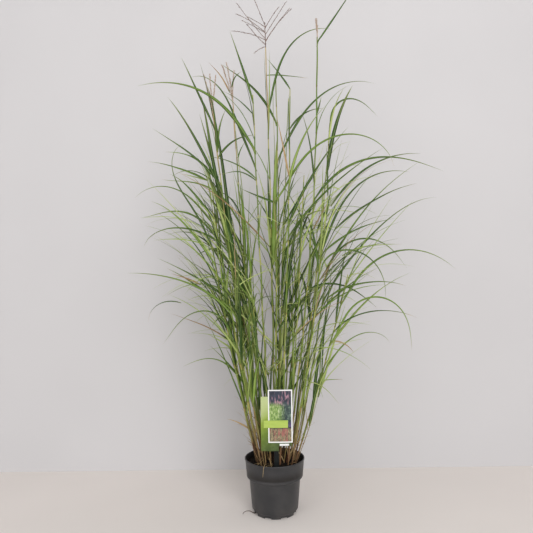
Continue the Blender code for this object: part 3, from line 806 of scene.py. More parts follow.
def rolled_side(line, roll, twist):
    """A blade's side direction: level at first, then rolled about the line, and twisted."""
    ahead = directions(line)
    level = np.cross(ahead, (0.0, 0.0, 1.0)) + np.array([1e-6, 0.0, 0.0])
    level /= np.linalg.norm(level, axis=1)[:, None]
    up = np.cross(level, ahead)
    turn = (roll + twist * np.linspace(0.0, 1.0, len(line)))[:, None]
    return level * np.cos(turn) + up * np.sin(turn)


def inside(line):
    """Whether a line stays within the plant's own space, and above the floor."""
    return bool(((line > LOW_LIMIT) & (line < HIGH_LIMIT)).all() and line[:, 2].min() > 0.16)


GROUPS = 12
bundles = [Bundle() for _ in range(GROUPS)]
rng = np.random.default_rng(21)
for number, (x, z, slopes, length, drift, width, dry) in enumerate(CLEAR_BLADES):
    stem = nearest_stem(np.array([x, -0.02, z]), all_lines)
    foot = at_height(stem, min(z, stem[-1, 2]))
    foot[0] = x if abs(foot[0] - x) > 0.03 else foot[0]
    line = arc_line(foot, slopes, length, drift=drift)
    share = np.linspace(0.0, 1.0, len(line))
    side = rolled_side(line, radians(rng.uniform(45, 70)), radians(rng.uniform(-20, 20)))
    half = width / 2 * width_law(share)
    dark = number < 6 or rng.random() < 0.75
    tone = rng.uniform(0.15, 0.45) if dark else rng.uniform(0.60, 0.90)
    bundles[number % GROUPS].loft(line, half, side, LIGHT_SECTION, 22, rng, tone, dry)

for x, z, slopes, length, drift, width in BROAD_BLADES:
    line = arc_line((x, -0.02, z), slopes, length, drift=drift)
    side = rolled_side(line, radians(75), radians(rng.uniform(-15, 15)))
    half = width / 2 * (1 - np.linspace(0.0, 1.0, len(line)) ** 2.0) ** 0.8
    bundles[0].loft(line, half, side, FINE_SECTION, 30, rng, rng.uniform(0.08, 0.22), 0.0)

SEEDED_BLADES = 330
placed = 0
for _ in range(6000):
    if placed == SEEDED_BLADES:
        break
    stem = all_lines[int(rng.integers(len(all_lines)))]
    top = min(stem[-1, 2], 1.06)
    z = rng.uniform(0.27, 1.0) ** 0.9 * top
    if z < 0.24 or rng.random() < (0.55 if z < 0.45 else 0.45 if z > 0.88 else 0.0):
        continue
    foot = at_height(stem, z)
    outwards = np.arctan2(foot[1] * 0.8, foot[0] + 1e-6)
    azimuth = outwards + rng.normal(0, 1.0)
    steep = rng.uniform(68, 89)
    bend = rng.uniform(4, 40)
    if rng.random() < 0.45:
        bend += rng.uniform(10, 70)
    if 0.40 < z < 0.86 and rng.random() < 0.40:
        azimuth = (0.0 if foot[0] + rng.normal(0, 0.03) > 0 else pi) + rng.normal(0, 0.45)
        steep, bend = rng.uniform(46, 72), rng.uniform(2, 40)
    bend *= 0.4 if z < 0.45 else 1.0
    slopes = (steep, steep - bend * 0.25, steep - bend * 0.70, steep - bend * 1.25)
    length = rng.uniform(0.14, 0.36) * (1.0 if z < 0.75 else 0.6)
    line = arc_line(foot, slopes, length, azimuth, rng.uniform(-0.04, 0.04))
    if not inside(line) or hides_label(line):
        continue
    share = np.linspace(0.0, 1.0, len(line))
    side = rolled_side(line, radians(rng.uniform(-50, 50)), radians(rng.uniform(-30, 30)))
    half = rng.uniform(0.0019, 0.0047) * width_law(share) * (1.20 if z < 0.80 else 0.75)
    tone = rng.normal(0.32, 0.14) if rng.random() < 0.60 else rng.normal(0.86, 0.10)
    tone -= 0.20 if foot[0] < -0.045 and rng.random() < 0.6 else 0.0
    dry = max(0.0, rng.normal(0.02, 0.06))
    if rng.random() < 0.05:
        dry, half = rng.uniform(0.4, 0.9), half * 0.5
    bundles[placed % GROUPS].loft(line, half, side, LIGHT_SECTION, 18, rng, tone, dry)
    placed += 1

# Fine light blades, more curved than the rest, that tangle half-way up.
FINE_BLADES = 150
fine_placed = 0
for _ in range(4000):
    if fine_placed == FINE_BLADES:
        break
    stem = all_lines[int(rng.integers(len(all_lines)))]
    foot = at_height(stem, min(rng.uniform(0.42, 0.84), stem[-1, 2] - 0.01))
    azimuth = np.arctan2(foot[1], foot[0] + 0.04) + rng.normal(0, 1.1)
    steep, bend = rng.uniform(30, 80), rng.uniform(20, 90)
    slopes = (steep, steep - bend * 0.5, steep - bend * 0.8, steep - bend)
    length = rng.uniform(0.09, 0.25)
    line = arc_line(foot, slopes, length, azimuth, rng.uniform(-0.05, 0.05))
    if not inside(line) or hides_label(line):
        continue
    share = np.linspace(0.0, 1.0, len(line))
    side = rolled_side(line, radians(rng.uniform(-60, 60)), radians(rng.uniform(-90, 90)))
    half = rng.uniform(0.0011, 0.0024) * width_law(share)
    bundle = bundles[fine_placed % GROUPS]
    bundle.loft(line, half, side, LIGHT_SECTION, 14, rng, rng.uniform(0.7, 1.0), 0.03)
    fine_placed += 1
for number, bundle in enumerate(bundles, 1):
    keep(f"small_blades_{number:02d}", bundle.mesh("blades"), (), blade_mat)
print("listed:", len(CLEAR_BLADES), "seeded:", placed, "fine:", fine_placed)

# %% [markdown]
# ## Dry growth at the foot
# Low in the clump there are dry sheaths, short brown blades and broken straw, mostly upright
# between the stems. Two longer straws have bent over the pot's rim at the front.

# %% Dry growth at the foot
litter = Bundle()
rng = np.random.default_rng(33)
for number in range(70):
    stem = all_lines[int(rng.integers(len(all_lines)))]
    z = rng.uniform(SOIL_TOP - 0.004, 0.24)
    foot = at_height(stem, z) + np.array([*rng.uniform(-0.004, 0.004, 2), 0.0])
    steep = rng.uniform(60, 89)
    slopes = (steep, steep - rng.uniform(0, 20), steep - rng.uniform(0, 45), rng.uniform(0, 80))
    azimuth = np.arctan2(foot[1], foot[0]) + rng.normal(0, 1.0)
    line = arc_line(foot, slopes, rng.uniform(0.03, 0.13), azimuth)
    share = np.linspace(0.0, 1.0, len(line))
    if hides_label(line):
        continue
    side = rolled_side(line, radians(rng.uniform(-80, 80)), radians(rng.uniform(-60, 60)))
    half = rng.uniform(0.0008, 0.0024) * width_law(share)
    litter.loft(line, half, side, LIGHT_SECTION, 10, rng, rng.uniform(0.2, 0.8), 0.95)
STRAWS = (
    ((-0.014, -0.050, 0.150), (-0.022, -0.068, 0.157), (-0.029, -0.0840, 0.1575),
     (-0.031, -0.0866, 0.150), (-0.032, -0.0876, 0.138), (-0.0335, -0.0875, 0.1270)),
    ((-0.006, -0.052, 0.145), (-0.008, -0.066, 0.157), (-0.014, -0.078, 0.1560),
     (-0.022, -0.0800, 0.1555), (-0.027, -0.0770, 0.1500)),
    ((-0.016, -0.048, 0.168), (-0.012, -0.060, 0.158), (-0.010, -0.0700, 0.1500),
     (-0.014, -0.0720, 0.1430)),
    ((-0.036, -0.040, 0.144), (-0.046, -0.050, 0.152), (-0.058, -0.050, 0.150),
     (-0.066, -0.044, 0.1430)),
    ((-0.030, -0.040, 0.160), (-0.044, -0.054, 0.152), (-0.056, -0.056, 0.1440)),
    ((0.040, -0.030, 0.144), (0.056, -0.040, 0.150), (0.068, -0.036, 0.1430)),
)
for straw in STRAWS:
    line = resampled(straw, np.linspace(0, 1, 16))
    side = np.tile([0.9, -0.3, 0.3], (16, 1))
    half = np.full(16, 0.0007) * (1.0 - np.linspace(0, 1, 16) ** 4 * 0.7)
    litter.loft(line, half, side, LIGHT_SECTION, 20, rng, 0.7, 0.95)
keep("dry_growth", litter.mesh("litter"), (), blade_mat)
print("dry pieces:", len(litter.values))

# %% [markdown]
# ## Plumes
# A plume is a short axis with a spray of thin racemes. Each raceme carries small seed
# spikelets in pairs, with fine silky hairs. The lines of the racemes are listed; a Geometry
# Nodes tree runs along each line, places a spikelet every few millimetres, tilts and spins
# it at random from a fixed seed, adds the hairs, and makes them all real geometry.

# %% Plume materials
plume_mat, tree, shader = start_material("plume_spikelets", 0.6, specular=0.3, sheen=0.2)
grain = speckle(tree, own_place(tree), 260.0, 2.0)
large = speckle(tree, own_place(tree), 22.0, 2.0)
husk = ramp(
    tree,
    grain,
    (0.25, (0.060, 0.030, 0.027)),
    (0.55, (0.170, 0.105, 0.082)),
    (0.85, (0.400, 0.310, 0.240)),
)
husk = blend(tree, band(tree, large, 0.4, 0.7, 0.0, 0.35), husk, (0.30, 0.21, 0.17))
tree.links.new(husk, shader.inputs["Base Color"])
tan_plume_mat, tree, shader = start_material("plume_tan", 0.6, specular=0.2, sheen=0.2)
grain = speckle(tree, own_place(tree), 260.0, 2.0)
tan = ramp(
    tree, grain, (0.25, (0.230, 0.140, 0.095)), (0.55, (0.430, 0.320, 0.230)),
    (0.85, (0.600, 0.500, 0.400)),
)
tree.links.new(tan, shader.inputs["Base Color"])
silk_mat, tree, shader = start_material("plume_silk", 0.5, specular=0.4, sheen=0.3)
grain = speckle(tree, own_place(tree), 180.0, 2.0)
silk = ramp(tree, grain, (0.3, (0.42, 0.34, 0.28)), (0.7, (0.68, 0.60, 0.52)))
tree.links.new(silk, shader.inputs["Base Color"])

# %% The plume tree
plume_tree, given, made = new_tree(
    "line_to_plume", Look="Material", Silk="Material", Seed="Int", Fluff="Float"
)
curve = add(plume_tree, "GeometryNodeMeshToCurve", Mesh=given.outputs["Geometry"])
circle = add(plume_tree, "GeometryNodeCurvePrimitiveCircle", i0=5, Radius=1.0)
thick = add(plume_tree, "GeometryNodeInputNamedAttribute", {"data_type": "FLOAT"}, Name="thick")
swept = add(
    plume_tree,
    "GeometryNodeCurveToMesh",
    Curve=curve.outputs[0],
    Profile_Curve=circle.outputs[0],
    Scale=thick.outputs[0],
    Fill_Caps=True,
)


def set_along(shape, every, tilt_low, tilt_high, look, seed_step):
    """Instances of a shape along the curve, tilted off it and spun round it at random."""
    spots = add(
        plume_tree, "GeometryNodeCurveToPoints", {"mode": "LENGTH"}, Curve=curve.outputs[0],
        Length=every,
    )
    seed = maths(plume_tree, "ADD", given.outputs["Seed"], seed_step)
    lean = add(
        plume_tree, "FunctionNodeRandomValue", {"data_type": "FLOAT_VECTOR"}, Seed=seed,
        i0=(tilt_low, 0.0, -pi), i1=(tilt_high, 0.0, pi),
    )
    parts = add(plume_tree, "ShaderNodeSeparateXYZ", Vector=lean.outputs[0])
    spin = add(plume_tree, "ShaderNodeCombineXYZ", Z=parts.outputs[2])
    tilt = add(plume_tree, "ShaderNodeCombineXYZ", X=parts.outputs[0])
    turn = spots.outputs["Rotation"]
    for step in (spin, tilt):
        euler = add(plume_tree, "FunctionNodeEulerToRotation", Euler=step.outputs[0])
        turn = add(
            plume_tree, "FunctionNodeRotateRotation", {"rotation_space": "LOCAL"},
            Rotation=turn, Rotate_By=euler.outputs[0],
        ).outputs[0]
    size = add(
        plume_tree, "FunctionNodeRandomValue", {"data_type": "FLOAT"}, Seed=seed, i2=0.7, i3=1.15
    )
    fluffy = maths(plume_tree, "MULTIPLY", size.outputs[1], given.outputs["Fluff"])
    put = add(
        plume_tree, "GeometryNodeInstanceOnPoints", Points=spots.outputs[0], Instance=shape,
        Rotation=turn, Scale=fluffy,
    )
    return add(
        plume_tree, "GeometryNodeSetMaterial", Geometry=put.outputs[0], Material=look
    ).outputs[0]


ball = add(plume_tree, "GeometryNodeMeshUVSphere", Segments=5, Rings=4, Radius=1.0)
spikelet = add(
    plume_tree, "GeometryNodeTransform", Geometry=ball.outputs[0],
    Translation=(0.0, 0.0, 0.0022), Scale=(0.00052, 0.00052, 0.0024),
)
hair = add(
    plume_tree, "GeometryNodeMeshCone", Vertices=3, Radius_Top=0.00002, Radius_Bottom=0.00011,
    Depth=0.0062,
)
look, silk_look = given.outputs["Look"], given.outputs["Silk"]
joined = add(plume_tree, "GeometryNodeJoinGeometry")
stalks = add(plume_tree, "GeometryNodeSetMaterial", Geometry=swept.outputs[0], Material=look)
for part in (
    set_along(hair.outputs[0], 0.0016, 0.25, 0.65, silk_look, 3),
    set_along(spikelet.outputs[0], 0.0030, 0.20, 0.45, look, 2),
    set_along(spikelet.outputs[0], 0.0034, 0.20, 0.50, look, 1),
    stalks.outputs[0],
):
    plume_tree.links.new(part, joined.inputs[0])
real = add(plume_tree, "GeometryNodeRealizeInstances", Geometry=joined.outputs[0])
smooth = add(plume_tree, "GeometryNodeSetShadeSmooth", Geometry=real.outputs[0])
plume_tree.links.new(smooth.outputs[0], made.inputs[0])
print("tree:", plume_tree.name)

# %% The four plumes
# Each: name, solid, stem number, axis length, how fluffy it is, then racemes as (share of
# the axis, slope at foot, slope at tip, length, y at tip).
PLUMES = (
    ("plume_open", "open_plume", 1, 0.066, 1.0, (
        (0.35, 132, 129, 0.118, -0.020), (0.85, 141, 140, 0.064, 0.030),
        (0.60, 144, 142, 0.080, 0.035), (0.62, 138, 168, 0.088, -0.030),
        (0.30, 150, 170, 0.098, 0.020), (0.10, 140, 138, 0.066, -0.035),
        (0.02, 190, 215, 0.034, 0.010), (0.78, 64, 58, 0.080, 0.030),
        (0.52, 56, 52, 0.098, -0.025), (0.26, 58, 52, 0.118, 0.022),
        (0.22, 60, 34, 0.104, -0.034), (0.92, 112, 110, 0.086, 0.006),
    )),
    ("plume_left", "half_open_plume_left", 3, 0.030, 1.5, (
        (0.30, 104, 102, 0.090, -0.012), (0.60, 96, 92, 0.086, 0.012),
        (0.45, 84, 82, 0.084, -0.002),
    )),
    ("plume_back", "half_open_plume_back", 4, 0.030, 1.6, (
        (0.30, 104, 108, 0.104, 0.012), (0.60, 98, 100, 0.092, -0.010),
        (0.45, 90, 84, 0.080, 0.014),
    )),
    ("plume_right", "closed_plume_right", 2, 0.030, 1.3, (
        (0.40, 97, 98, 0.034, -0.003), (0.70, 91, 93, 0.028, 0.004),
        (0.20, 93, 95, 0.036, 0.002),
    )),
)
for seed, (name, node, stem_number, axis, fluff, racemes) in enumerate(PLUMES, 1):
    stem = stem_lines[stem_number - 1][0]
    foot, ahead = stem[-1], directions(stem)[-1]
    lines = [{
        "points": np.array([foot - ahead * 0.004, foot + ahead * axis * 0.5, foot + ahead * axis]),
        "thick": np.array([0.0013, 0.0011, 0.0008]),
    }]
    for share, slope_foot, slope_tip, length, tip_y in racemes:
        slopes = np.linspace(slope_foot, slope_tip, 4)
        line = arc_line(foot + ahead * axis * share, slopes, length, drift=tip_y, count=14)
        lines.append({"points": line, "thick": np.linspace(0.0007, 0.00025, 14)})
    mesh = grown(
        line_mesh(name, lines), plume_tree, Seed=seed * 10, Fluff=fluff, Silk=silk_mat,
        Look=plume_mat if fluff == 1.0 else tan_plume_mat,
    )
    keep(name, mesh, [node])
    print(name, "faces:", len(mesh.polygons))

# %% [markdown]
# ## The nursery pot
# The pot is injection-moulded: one thin wall, a band under the rim, a chamfered foot and
# notches for drainage. Its outline is turned about the upright axis with a Screw modifier
# and the notches are cut with one Boolean, as the real mould would form them.

# %% Pot material
pot_mat, tree, shader = start_material("moulded_grey_plastic", 0.42, specular=0.35)
fine = speckle(tree, own_place(tree), 420.0, 2.0)
wide = speckle(tree, own_place(tree), 18.0, 4.0)
height = add(tree, "ShaderNodeSeparateXYZ", Vector=own_place(tree)).outputs[2]
grey = ramp(tree, wide, (0.3, (0.028, 0.028, 0.030)), (0.7, (0.042, 0.042, 0.044)))
low_down = band(tree, height, 0.0, 0.05, 0.30, 0.05)
dust = maths(tree, "MULTIPLY", low_down, band(tree, wide, 0.4, 0.7))
grey = blend(tree, dust, grey, (0.12, 0.105, 0.09))
flat_place = add(
    tree, "ShaderNodeVectorMath", {"operation": "MULTIPLY"}, i0=own_place(tree), i1=(1, 1, 0)
)
out_from_axis = add(
    tree, "ShaderNodeVectorMath", {"operation": "LENGTH"}, i0=flat_place.outputs[0]
)
# Painted shade: the inner faces of the pot's upper part, inside the rim, are darkened where shade falls
# in the pot.
painted_inner_shade = band(tree, out_from_axis.outputs[1], 0.0795, 0.0815, 0.9, 0.0)
painted_inner_shade = maths(tree, "MULTIPLY", painted_inner_shade, band(tree, height, 0.106, 0.112))
grey = blend(tree, painted_inner_shade, grey, (0.011, 0.009, 0.008))
tree.links.new(grey, shader.inputs["Base Color"])
tree.links.new(band(tree, wide, 0.2, 0.8, 0.36, 0.52), shader.inputs["Roughness"])
relief(tree, shader, fine, 0.0002, 0.12)

# %% Pot shell
POT_LOW, POT_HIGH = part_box("nursery_pot")
POT_TOP, LIP_RADIUS = POT_HIGH.z, POT_HIGH.x
POT_STEPS, WALL, NOTCHES = 144, 0.0018, 8
rim = LIP_RADIUS - 0.0012
POT_OUTLINE = (
    (0.0, 0.0), (0.0575, 0.0), (0.0586, 0.0004), (0.0590, 0.0015), (0.0595, 0.0088),
    (0.0599, 0.0096), (0.0643, 0.0124), (0.0648, 0.0132), (0.0716, 0.0962), (0.0720, 0.0970),
    (0.0774, 0.1008), (0.0786, 0.1020), (0.0790, 0.1036), (0.07905, 0.1050),
    (rim, POT_TOP - 0.0042), (rim + 0.0003, POT_TOP - 0.0038),
    (LIP_RADIUS - 0.0002, POT_TOP - 0.0035),
    (LIP_RADIUS, POT_TOP - 0.0031), (LIP_RADIUS, POT_TOP - 0.0011),
    (LIP_RADIUS - 0.0003, POT_TOP - 0.0004), (LIP_RADIUS - 0.0010, POT_TOP),
    (rim - WALL + 0.0005, POT_TOP), (rim - WALL + 0.0001, POT_TOP - 0.0004),
    (rim - WALL, POT_TOP - 0.0010), (0.0772, 0.1045), (0.0698, 0.0975), (0.0630, 0.0155),
    (0.0572, 0.0112), (0.0572, 0.0046), (0.0567, 0.0038), (0.0552, 0.0036), (0.0, 0.0036),
)
mesh = bpy.data.meshes.new("pot")
corners = [(radius, 0.0, z) for radius, z in reversed(POT_OUTLINE)]
mesh.from_pydata(corners, [(i, i + 1) for i in range(len(corners) - 1)], [])
pot = bpy.data.objects.new("pot_maker", mesh)
bpy.context.scene.collection.objects.link(pot)
turn = pot.modifiers.new("turn", "SCREW")
turn.steps = turn.render_steps = POT_STEPS
turn.use_merge_vertices, turn.merge_threshold = True, 0.00001
cutter_mesh = bpy.data.meshes.new("notches")
shape = bmesh.new()
for index in range(NOTCHES):
    size = Matrix.Diagonal((0.020, 0.020, 0.0155, 1.0))
    out = Matrix.Translation((0.062, 0.0, -0.00225))
    around = Matrix.Rotation(2 * pi * (index + 0.54) / NOTCHES, 4, "Z")
    bmesh.ops.create_cube(shape, size=1.0, matrix=around @ out @ size)
shape.to_mesh(cutter_mesh)
shape.free()
cutter = bpy.data.objects.new("notch_maker", cutter_mesh)
bpy.context.scene.collection.objects.link(cutter)
cut = pot.modifiers.new("cut", "BOOLEAN")
cut.operation, cut.solver, cut.object = "DIFFERENCE", "EXACT", cutter
graph = bpy.context.evaluated_depsgraph_get()
pot_mesh = bpy.data.meshes.new_from_object(pot.evaluated_get(graph))
for maker in (pot, cutter):
    bpy.data.objects.remove(maker, do_unlink=True)
keep("pot_shell", pot_mesh, ["nursery_pot"], pot_mat)
pot_mesh.set_sharp_from_angle(angle=radians(40))
print("pot faces:", len(pot_mesh.polygons))

# %% [markdown]
# ## Potting soil
# The soil is a lumpy disc. Crumbs, bark chips and light fibres are scattered over its top by
# a second Geometry Nodes tree: points on the upward faces, an instance at each, all turned
# and sized at random from a fixed seed, then made real.

# %% Soil materials
soil_mat, tree, shader = start_material("dark_potting_soil", 0.95, specular=0.15)
lumps = speckle(tree, own_place(tree), 300.0, 6.0, 0.7)
damp = speckle(tree, own_place(tree), 40.0, 3.0)
peat = ramp(
    tree, lumps, (0.30, (0.004, 0.003, 0.003)), (0.60, (0.013, 0.009, 0.007)),
    (0.85, (0.055, 0.036, 0.024)),
)
peat = blend(tree, band(tree, damp, 0.3, 0.7, 0.0, 0.45), peat, (0.012, 0.009, 0.007))
tree.links.new(peat, shader.inputs["Base Color"])
relief(tree, shader, lumps, 0.0012, 0.8)
bark_mat, tree, shader = start_material("bark_chips", 0.85, specular=0.2)
grain = speckle(tree, own_place(tree, (40.0, 160.0, 40.0)), 6.0, 5.0, 0.7)
bark = ramp(
    tree, grain, (0.25, (0.015, 0.008, 0.005)), (0.55, (0.055, 0.028, 0.015)),
    (0.85, (0.260, 0.160, 0.090)),
)
tree.links.new(bark, shader.inputs["Base Color"])
relief(tree, shader, grain, 0.0006, 0.6)

# %% Soil bed
SOIL_RINGS, SOIL_SPOKES, SOIL_RIM_Z = 26, 90, 0.1370
SOIL_RADIUS = 0.0790
points, faces = [(0.0, 0.0, SOIL_TOP)], []
for ring in range(1, SOIL_RINGS + 1):
    radius = SOIL_RADIUS * ring / SOIL_RINGS
    edge = (ring / SOIL_RINGS) ** 3
    for spoke in range(SOIL_SPOKES):
        angle = 2 * pi * spoke / SOIL_SPOKES
        x, y = radius * cos(angle), radius * sin(angle)
        lump = 0.0016 * noise.noise((x * 70, y * 70, 1.0))
        lump += 0.0009 * noise.noise((x * 190, y * 190, 4.0))
        z = SOIL_TOP - (SOIL_TOP - SOIL_RIM_Z) * edge + lump * min(1.0, (1.0 - edge) * 3)
        points.append((x, y, z))
for radius, z in ((0.0786, 0.1290), (0.0400, 0.1285)):
    for spoke in range(SOIL_SPOKES):
        angle = 2 * pi * spoke / SOIL_SPOKES
        points.append((radius * cos(angle), radius * sin(angle), z))
points.append((0.0, 0.0, 0.1285))
for spoke in range(SOIL_SPOKES):
    after = (spoke + 1) % SOIL_SPOKES
    faces.append((0, 1 + spoke, 1 + after))
    for ring in range(SOIL_RINGS + 1):
        row = 1 + ring * SOIL_SPOKES
        below = row + SOIL_SPOKES
        faces.append((row + spoke, below + spoke, below + after, row + after))
    row = 1 + (SOIL_RINGS + 1) * SOIL_SPOKES
    faces.append((row + spoke, len(points) - 1, row + after))
soil_mesh = bpy.data.meshes.new("soil")
soil_mesh.from_pydata(points, [], faces)
keep("soil_bed", soil_mesh, ["potting_soil"], soil_mat)

# %% The scatter tree
scatter_tree, given, made = new_tree(
    "scatter_on_soil", Density="Float", Size="Vector", Flat="Float", Seed="Int", Look="Material"
)
normal = add(scatter_tree, "GeometryNodeInputNormal")
face_up = add(scatter_tree, "ShaderNodeSeparateXYZ", Vector=normal.outputs[0])
upward = add(
    scatter_tree, "FunctionNodeCompare", {"operation": "GREATER_THAN"},
    i0=face_up.outputs[2], i1=0.5,
)
spots = add(
    scatter_tree, "GeometryNodeDistributePointsOnFaces", Mesh=given.outputs["Geometry"],
    Selection=upward.outputs[0], Density=given.outputs["Density"], Seed=given.outputs["Seed"],
)
crumb = add(scatter_tree, "GeometryNodeMeshIcoSphere", Radius=0.5, Subdivisions=1)
sized = add(
    scatter_tree, "GeometryNodeTransform", Geometry=crumb.outputs[0], Scale=given.outputs["Size"]
)
tilt = given.outputs["Flat"]
most = add(scatter_tree, "ShaderNodeCombineXYZ", X=tilt, Y=tilt, Z=pi)
least = add(
    scatter_tree, "ShaderNodeVectorMath", {"operation": "SCALE"}, i0=most.outputs[0], Scale=-1.0
)
turn = add(
    scatter_tree, "FunctionNodeRandomValue", {"data_type": "FLOAT_VECTOR"},
    i0=least.outputs[0], i1=most.outputs[0], Seed=given.outputs["Seed"],
)
size = add(
    scatter_tree, "FunctionNodeRandomValue", {"data_type": "FLOAT"},
    i2=0.45, i3=1.2, Seed=given.outputs["Seed"],
)
euler = add(scatter_tree, "FunctionNodeEulerToRotation", Euler=turn.outputs[0])
put = add(
    scatter_tree, "GeometryNodeInstanceOnPoints", Points=spots.outputs[0], Instance=sized.outputs[0],
    Rotation=euler.outputs[0], Scale=size.outputs[1],
)
real = add(scatter_tree, "GeometryNodeRealizeInstances", Geometry=put.outputs[0])
looked = add(
    scatter_tree, "GeometryNodeSetMaterial",
    Geometry=real.outputs[0], Material=given.outputs["Look"],
)
scatter_tree.links.new(looked.outputs[0], made.inputs[0])
SCATTER_REACH = 0.0785
for name, density, size, flat, seed, mat in (
    ("soil_crumbs", 34000.0, (0.0042, 0.0034, 0.0030), 1.5, 4, soil_mat),
    ("bark_chips", 7000.0, (0.0100, 0.0042, 0.0016), 0.35, 9, bark_mat),
    ("soil_fibres", 3500.0, (0.0200, 0.0009, 0.0009), 0.30, 14, bark_mat),
):
    mesh = grown(
        soil_mesh.copy(), scatter_tree, Density=density, Size=size, Flat=flat, Seed=seed, Look=mat
    )
    outside = [v for v in mesh.vertices if (v.co.x**2 + v.co.y**2) ** 0.5 > SCATTER_REACH]
    for corner in outside:
        shrink = SCATTER_REACH / (corner.co.x**2 + corner.co.y**2) ** 0.5
        corner.co.x, corner.co.y = corner.co.x * shrink, corner.co.y * shrink
    keep(name, mesh, (), mat)
    print(name, "faces:", len(mesh.polygons))

# %% [markdown]
# ## A root strand
# One thin dark root has come out of a drain notch and arches over the floor by the pot.

# %% Root strand
strand = resampled(
    ((-0.056, -0.020, 0.0022), (-0.063, -0.024, 0.0060), (-0.069, -0.027, 0.0110),
     (-0.078, -0.030, 0.0130), (-0.086, -0.032, 0.0110), (-0.0900, -0.034, 0.0065)),
    np.linspace(0, 1, 24),
)
root_mat, tree, shader = start_material("dry_root", 0.8, specular=0.2)
grain = speckle(tree, own_place(tree), 240.0, 3.0)
root_tint = ramp(tree, grain, (0.3, (0.030, 0.018, 0.012)), (0.7, (0.120, 0.080, 0.055)))
tree.links.new(root_tint, shader.inputs["Base Color"])
line = {"points": strand, "thick": np.linspace(0.0013, 0.0007, 24)}
mesh = grown(line_mesh("root", [line]), stem_tree, Sides=8, Look=root_mat)
keep("root_strand", mesh)

# %% [markdown]
# ## The plant label
# The label is a printed plastic stick: a lime-green backing on a stake, a picture card with a
# white border in front of it and a lime strip across the card. The cards are thin and a
# little bowed, so each is a closed plate of small cells that all follow the same bow. The
# print is left generic: no words, only areas of colour like leaves and plumes.

# %% Label materials
backing_mat, tree, shader = start_material("green_backing_print", 0.45, specular=0.3)
spot = add(tree, "ShaderNodeSeparateXYZ", Vector=own_place(tree))
low_right = maths(tree, "MULTIPLY_ADD", spot.outputs[0], -0.9, spot.outputs[2])
tint = ramp(
    tree, band(tree, low_right, 0.18, 0.35), (0.0, (0.045, 0.070, 0.018)),
    (0.45, (0.120, 0.180, 0.020)), (0.75, (0.240, 0.330, 0.040)), (1.0, (0.430, 0.490, 0.230)),
)
mottle = band(tree, speckle(tree, own_place(tree), 60.0), 0.4, 0.7, 0.0, 0.12)
tint = blend(tree, mottle, tint, (0.34, 0.45, 0.17))
tree.links.new(tint, shader.inputs["Base Color"])
strip_mat, tree, shader = start_material("lime_strip_print", 0.35, specular=0.5)
streak = speckle(tree, own_place(tree, (1.0, 1.0, 6.0)), 40.0)
lime = ramp(tree, streak, (0.3, (0.310, 0.430, 0.070)), (0.7, (0.400, 0.510, 0.100)))
tree.links.new(lime, shader.inputs["Base Color"])
stake_mat, tree, shader = start_material("dark_label_stake", 0.60, specular=0.15)
worn = speckle(tree, own_place(tree), 120.0)
black = ramp(tree, worn, (0.3, (0.004, 0.005, 0.005)), (0.7, (0.010, 0.012, 0.011)))
tree.links.new(black, shader.inputs["Base Color"])
white_mat, tree, shader = start_material("white_label_card", 0.4, specular=0.5)
grain = speckle(tree, own_place(tree), 90.0)
paper = ramp(tree, grain, (0.3, (0.70, 0.70, 0.69)), (0.7, (0.80, 0.80, 0.79)))
tree.links.new(paper, shader.inputs["Base Color"])

CARD_LOW, CARD_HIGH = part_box("picture_card")
STRIP_LOW, STRIP_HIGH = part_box("name_strip")
card_mat, tree, shader = start_material("picture_card_print", 0.35, specular=0.5)
spot = add(tree, "ShaderNodeSeparateXYZ", Vector=own_place(tree))
x, z = spot.outputs[0], spot.outputs[2]
tall = own_place(tree, (1.0, 1.0, 0.28))
plumes = speckle(tree, tall, 130.0, 4.0, 0.6, 0.6)
leaves = speckle(tree, own_place(tree, (1.0, 1.0, 0.6)), 210.0, 5.0, 0.7)
dark = ramp(
    tree, leaves, (0.35, (0.006, 0.014, 0.020)), (0.55, (0.040, 0.075, 0.065)),
    (0.75, (0.320, 0.420, 0.300)),
)
night = ramp(tree, leaves, (0.35, (0.004, 0.008, 0.016)), (0.70, (0.040, 0.052, 0.085)))
lilac = blend(tree, band(tree, plumes, 0.48, 0.62, 0.0, 0.80), night, (0.430, 0.235, 0.290))
bright = ramp(
    tree, leaves, (0.32, (0.045, 0.110, 0.020)), (0.52, (0.230, 0.350, 0.090)),
    (0.70, (0.580, 0.640, 0.380)),
)
left = maths(tree, "MULTIPLY_ADD", plumes, 0.030, x)
field = blend(tree, band(tree, left, 0.022, 0.046), bright, dark)
upper = blend(tree, band(tree, maths(tree, "MULTIPLY_ADD", leaves, 0.02, z), 0.318, 0.336), field, lilac)
ground = ramp(tree, leaves, (0.35, (0.025, 0.028, 0.018)), (0.70, (0.390, 0.320, 0.180)))
rosy = blend(tree, band(tree, plumes, 0.46, 0.58, 0.0, 0.75), ground, (0.350, 0.100, 0.095))
glow = maths(tree, "MULTIPLY", band(tree, x, 0.030, 0.046), band(tree, z, 0.275, 0.255))
upper = blend(tree, maths(tree, "MULTIPLY", glow, 0.5), upper, (0.180, 0.080, 0.320))
picture = blend(tree, band(tree, z, 0.2515, 0.2535), rosy, upper)
# Painted shadow: a dark band on the card just under the lime strip, where the strip's shadow falls.
under = maths(tree, "MULTIPLY", band(tree, z, 0.2475, 0.2530), band(tree, z, 0.2560, 0.2540))
picture = blend(tree, maths(tree, "MULTIPLY", under, 0.8), picture, (0.010, 0.012, 0.010))
middle_x, middle_z = (CARD_LOW.x + CARD_HIGH.x) / 2, (CARD_LOW.z + CARD_HIGH.z) / 2
away_x = maths(tree, "ABSOLUTE", maths(tree, "SUBTRACT", x, middle_x))
away_z = maths(tree, "ABSOLUTE", maths(tree, "SUBTRACT", z, middle_z))
half_x, half_z = (CARD_HIGH.x - CARD_LOW.x) / 2, (CARD_HIGH.z - CARD_LOW.z) / 2
border = maths(
    tree, "MAXIMUM", band(tree, away_x, half_x - 0.0034, half_x - 0.0029),
    band(tree, away_z, half_z - 0.0034, half_z - 0.0029),
)
picture = blend(tree, border, picture, (0.78, 0.78, 0.77))
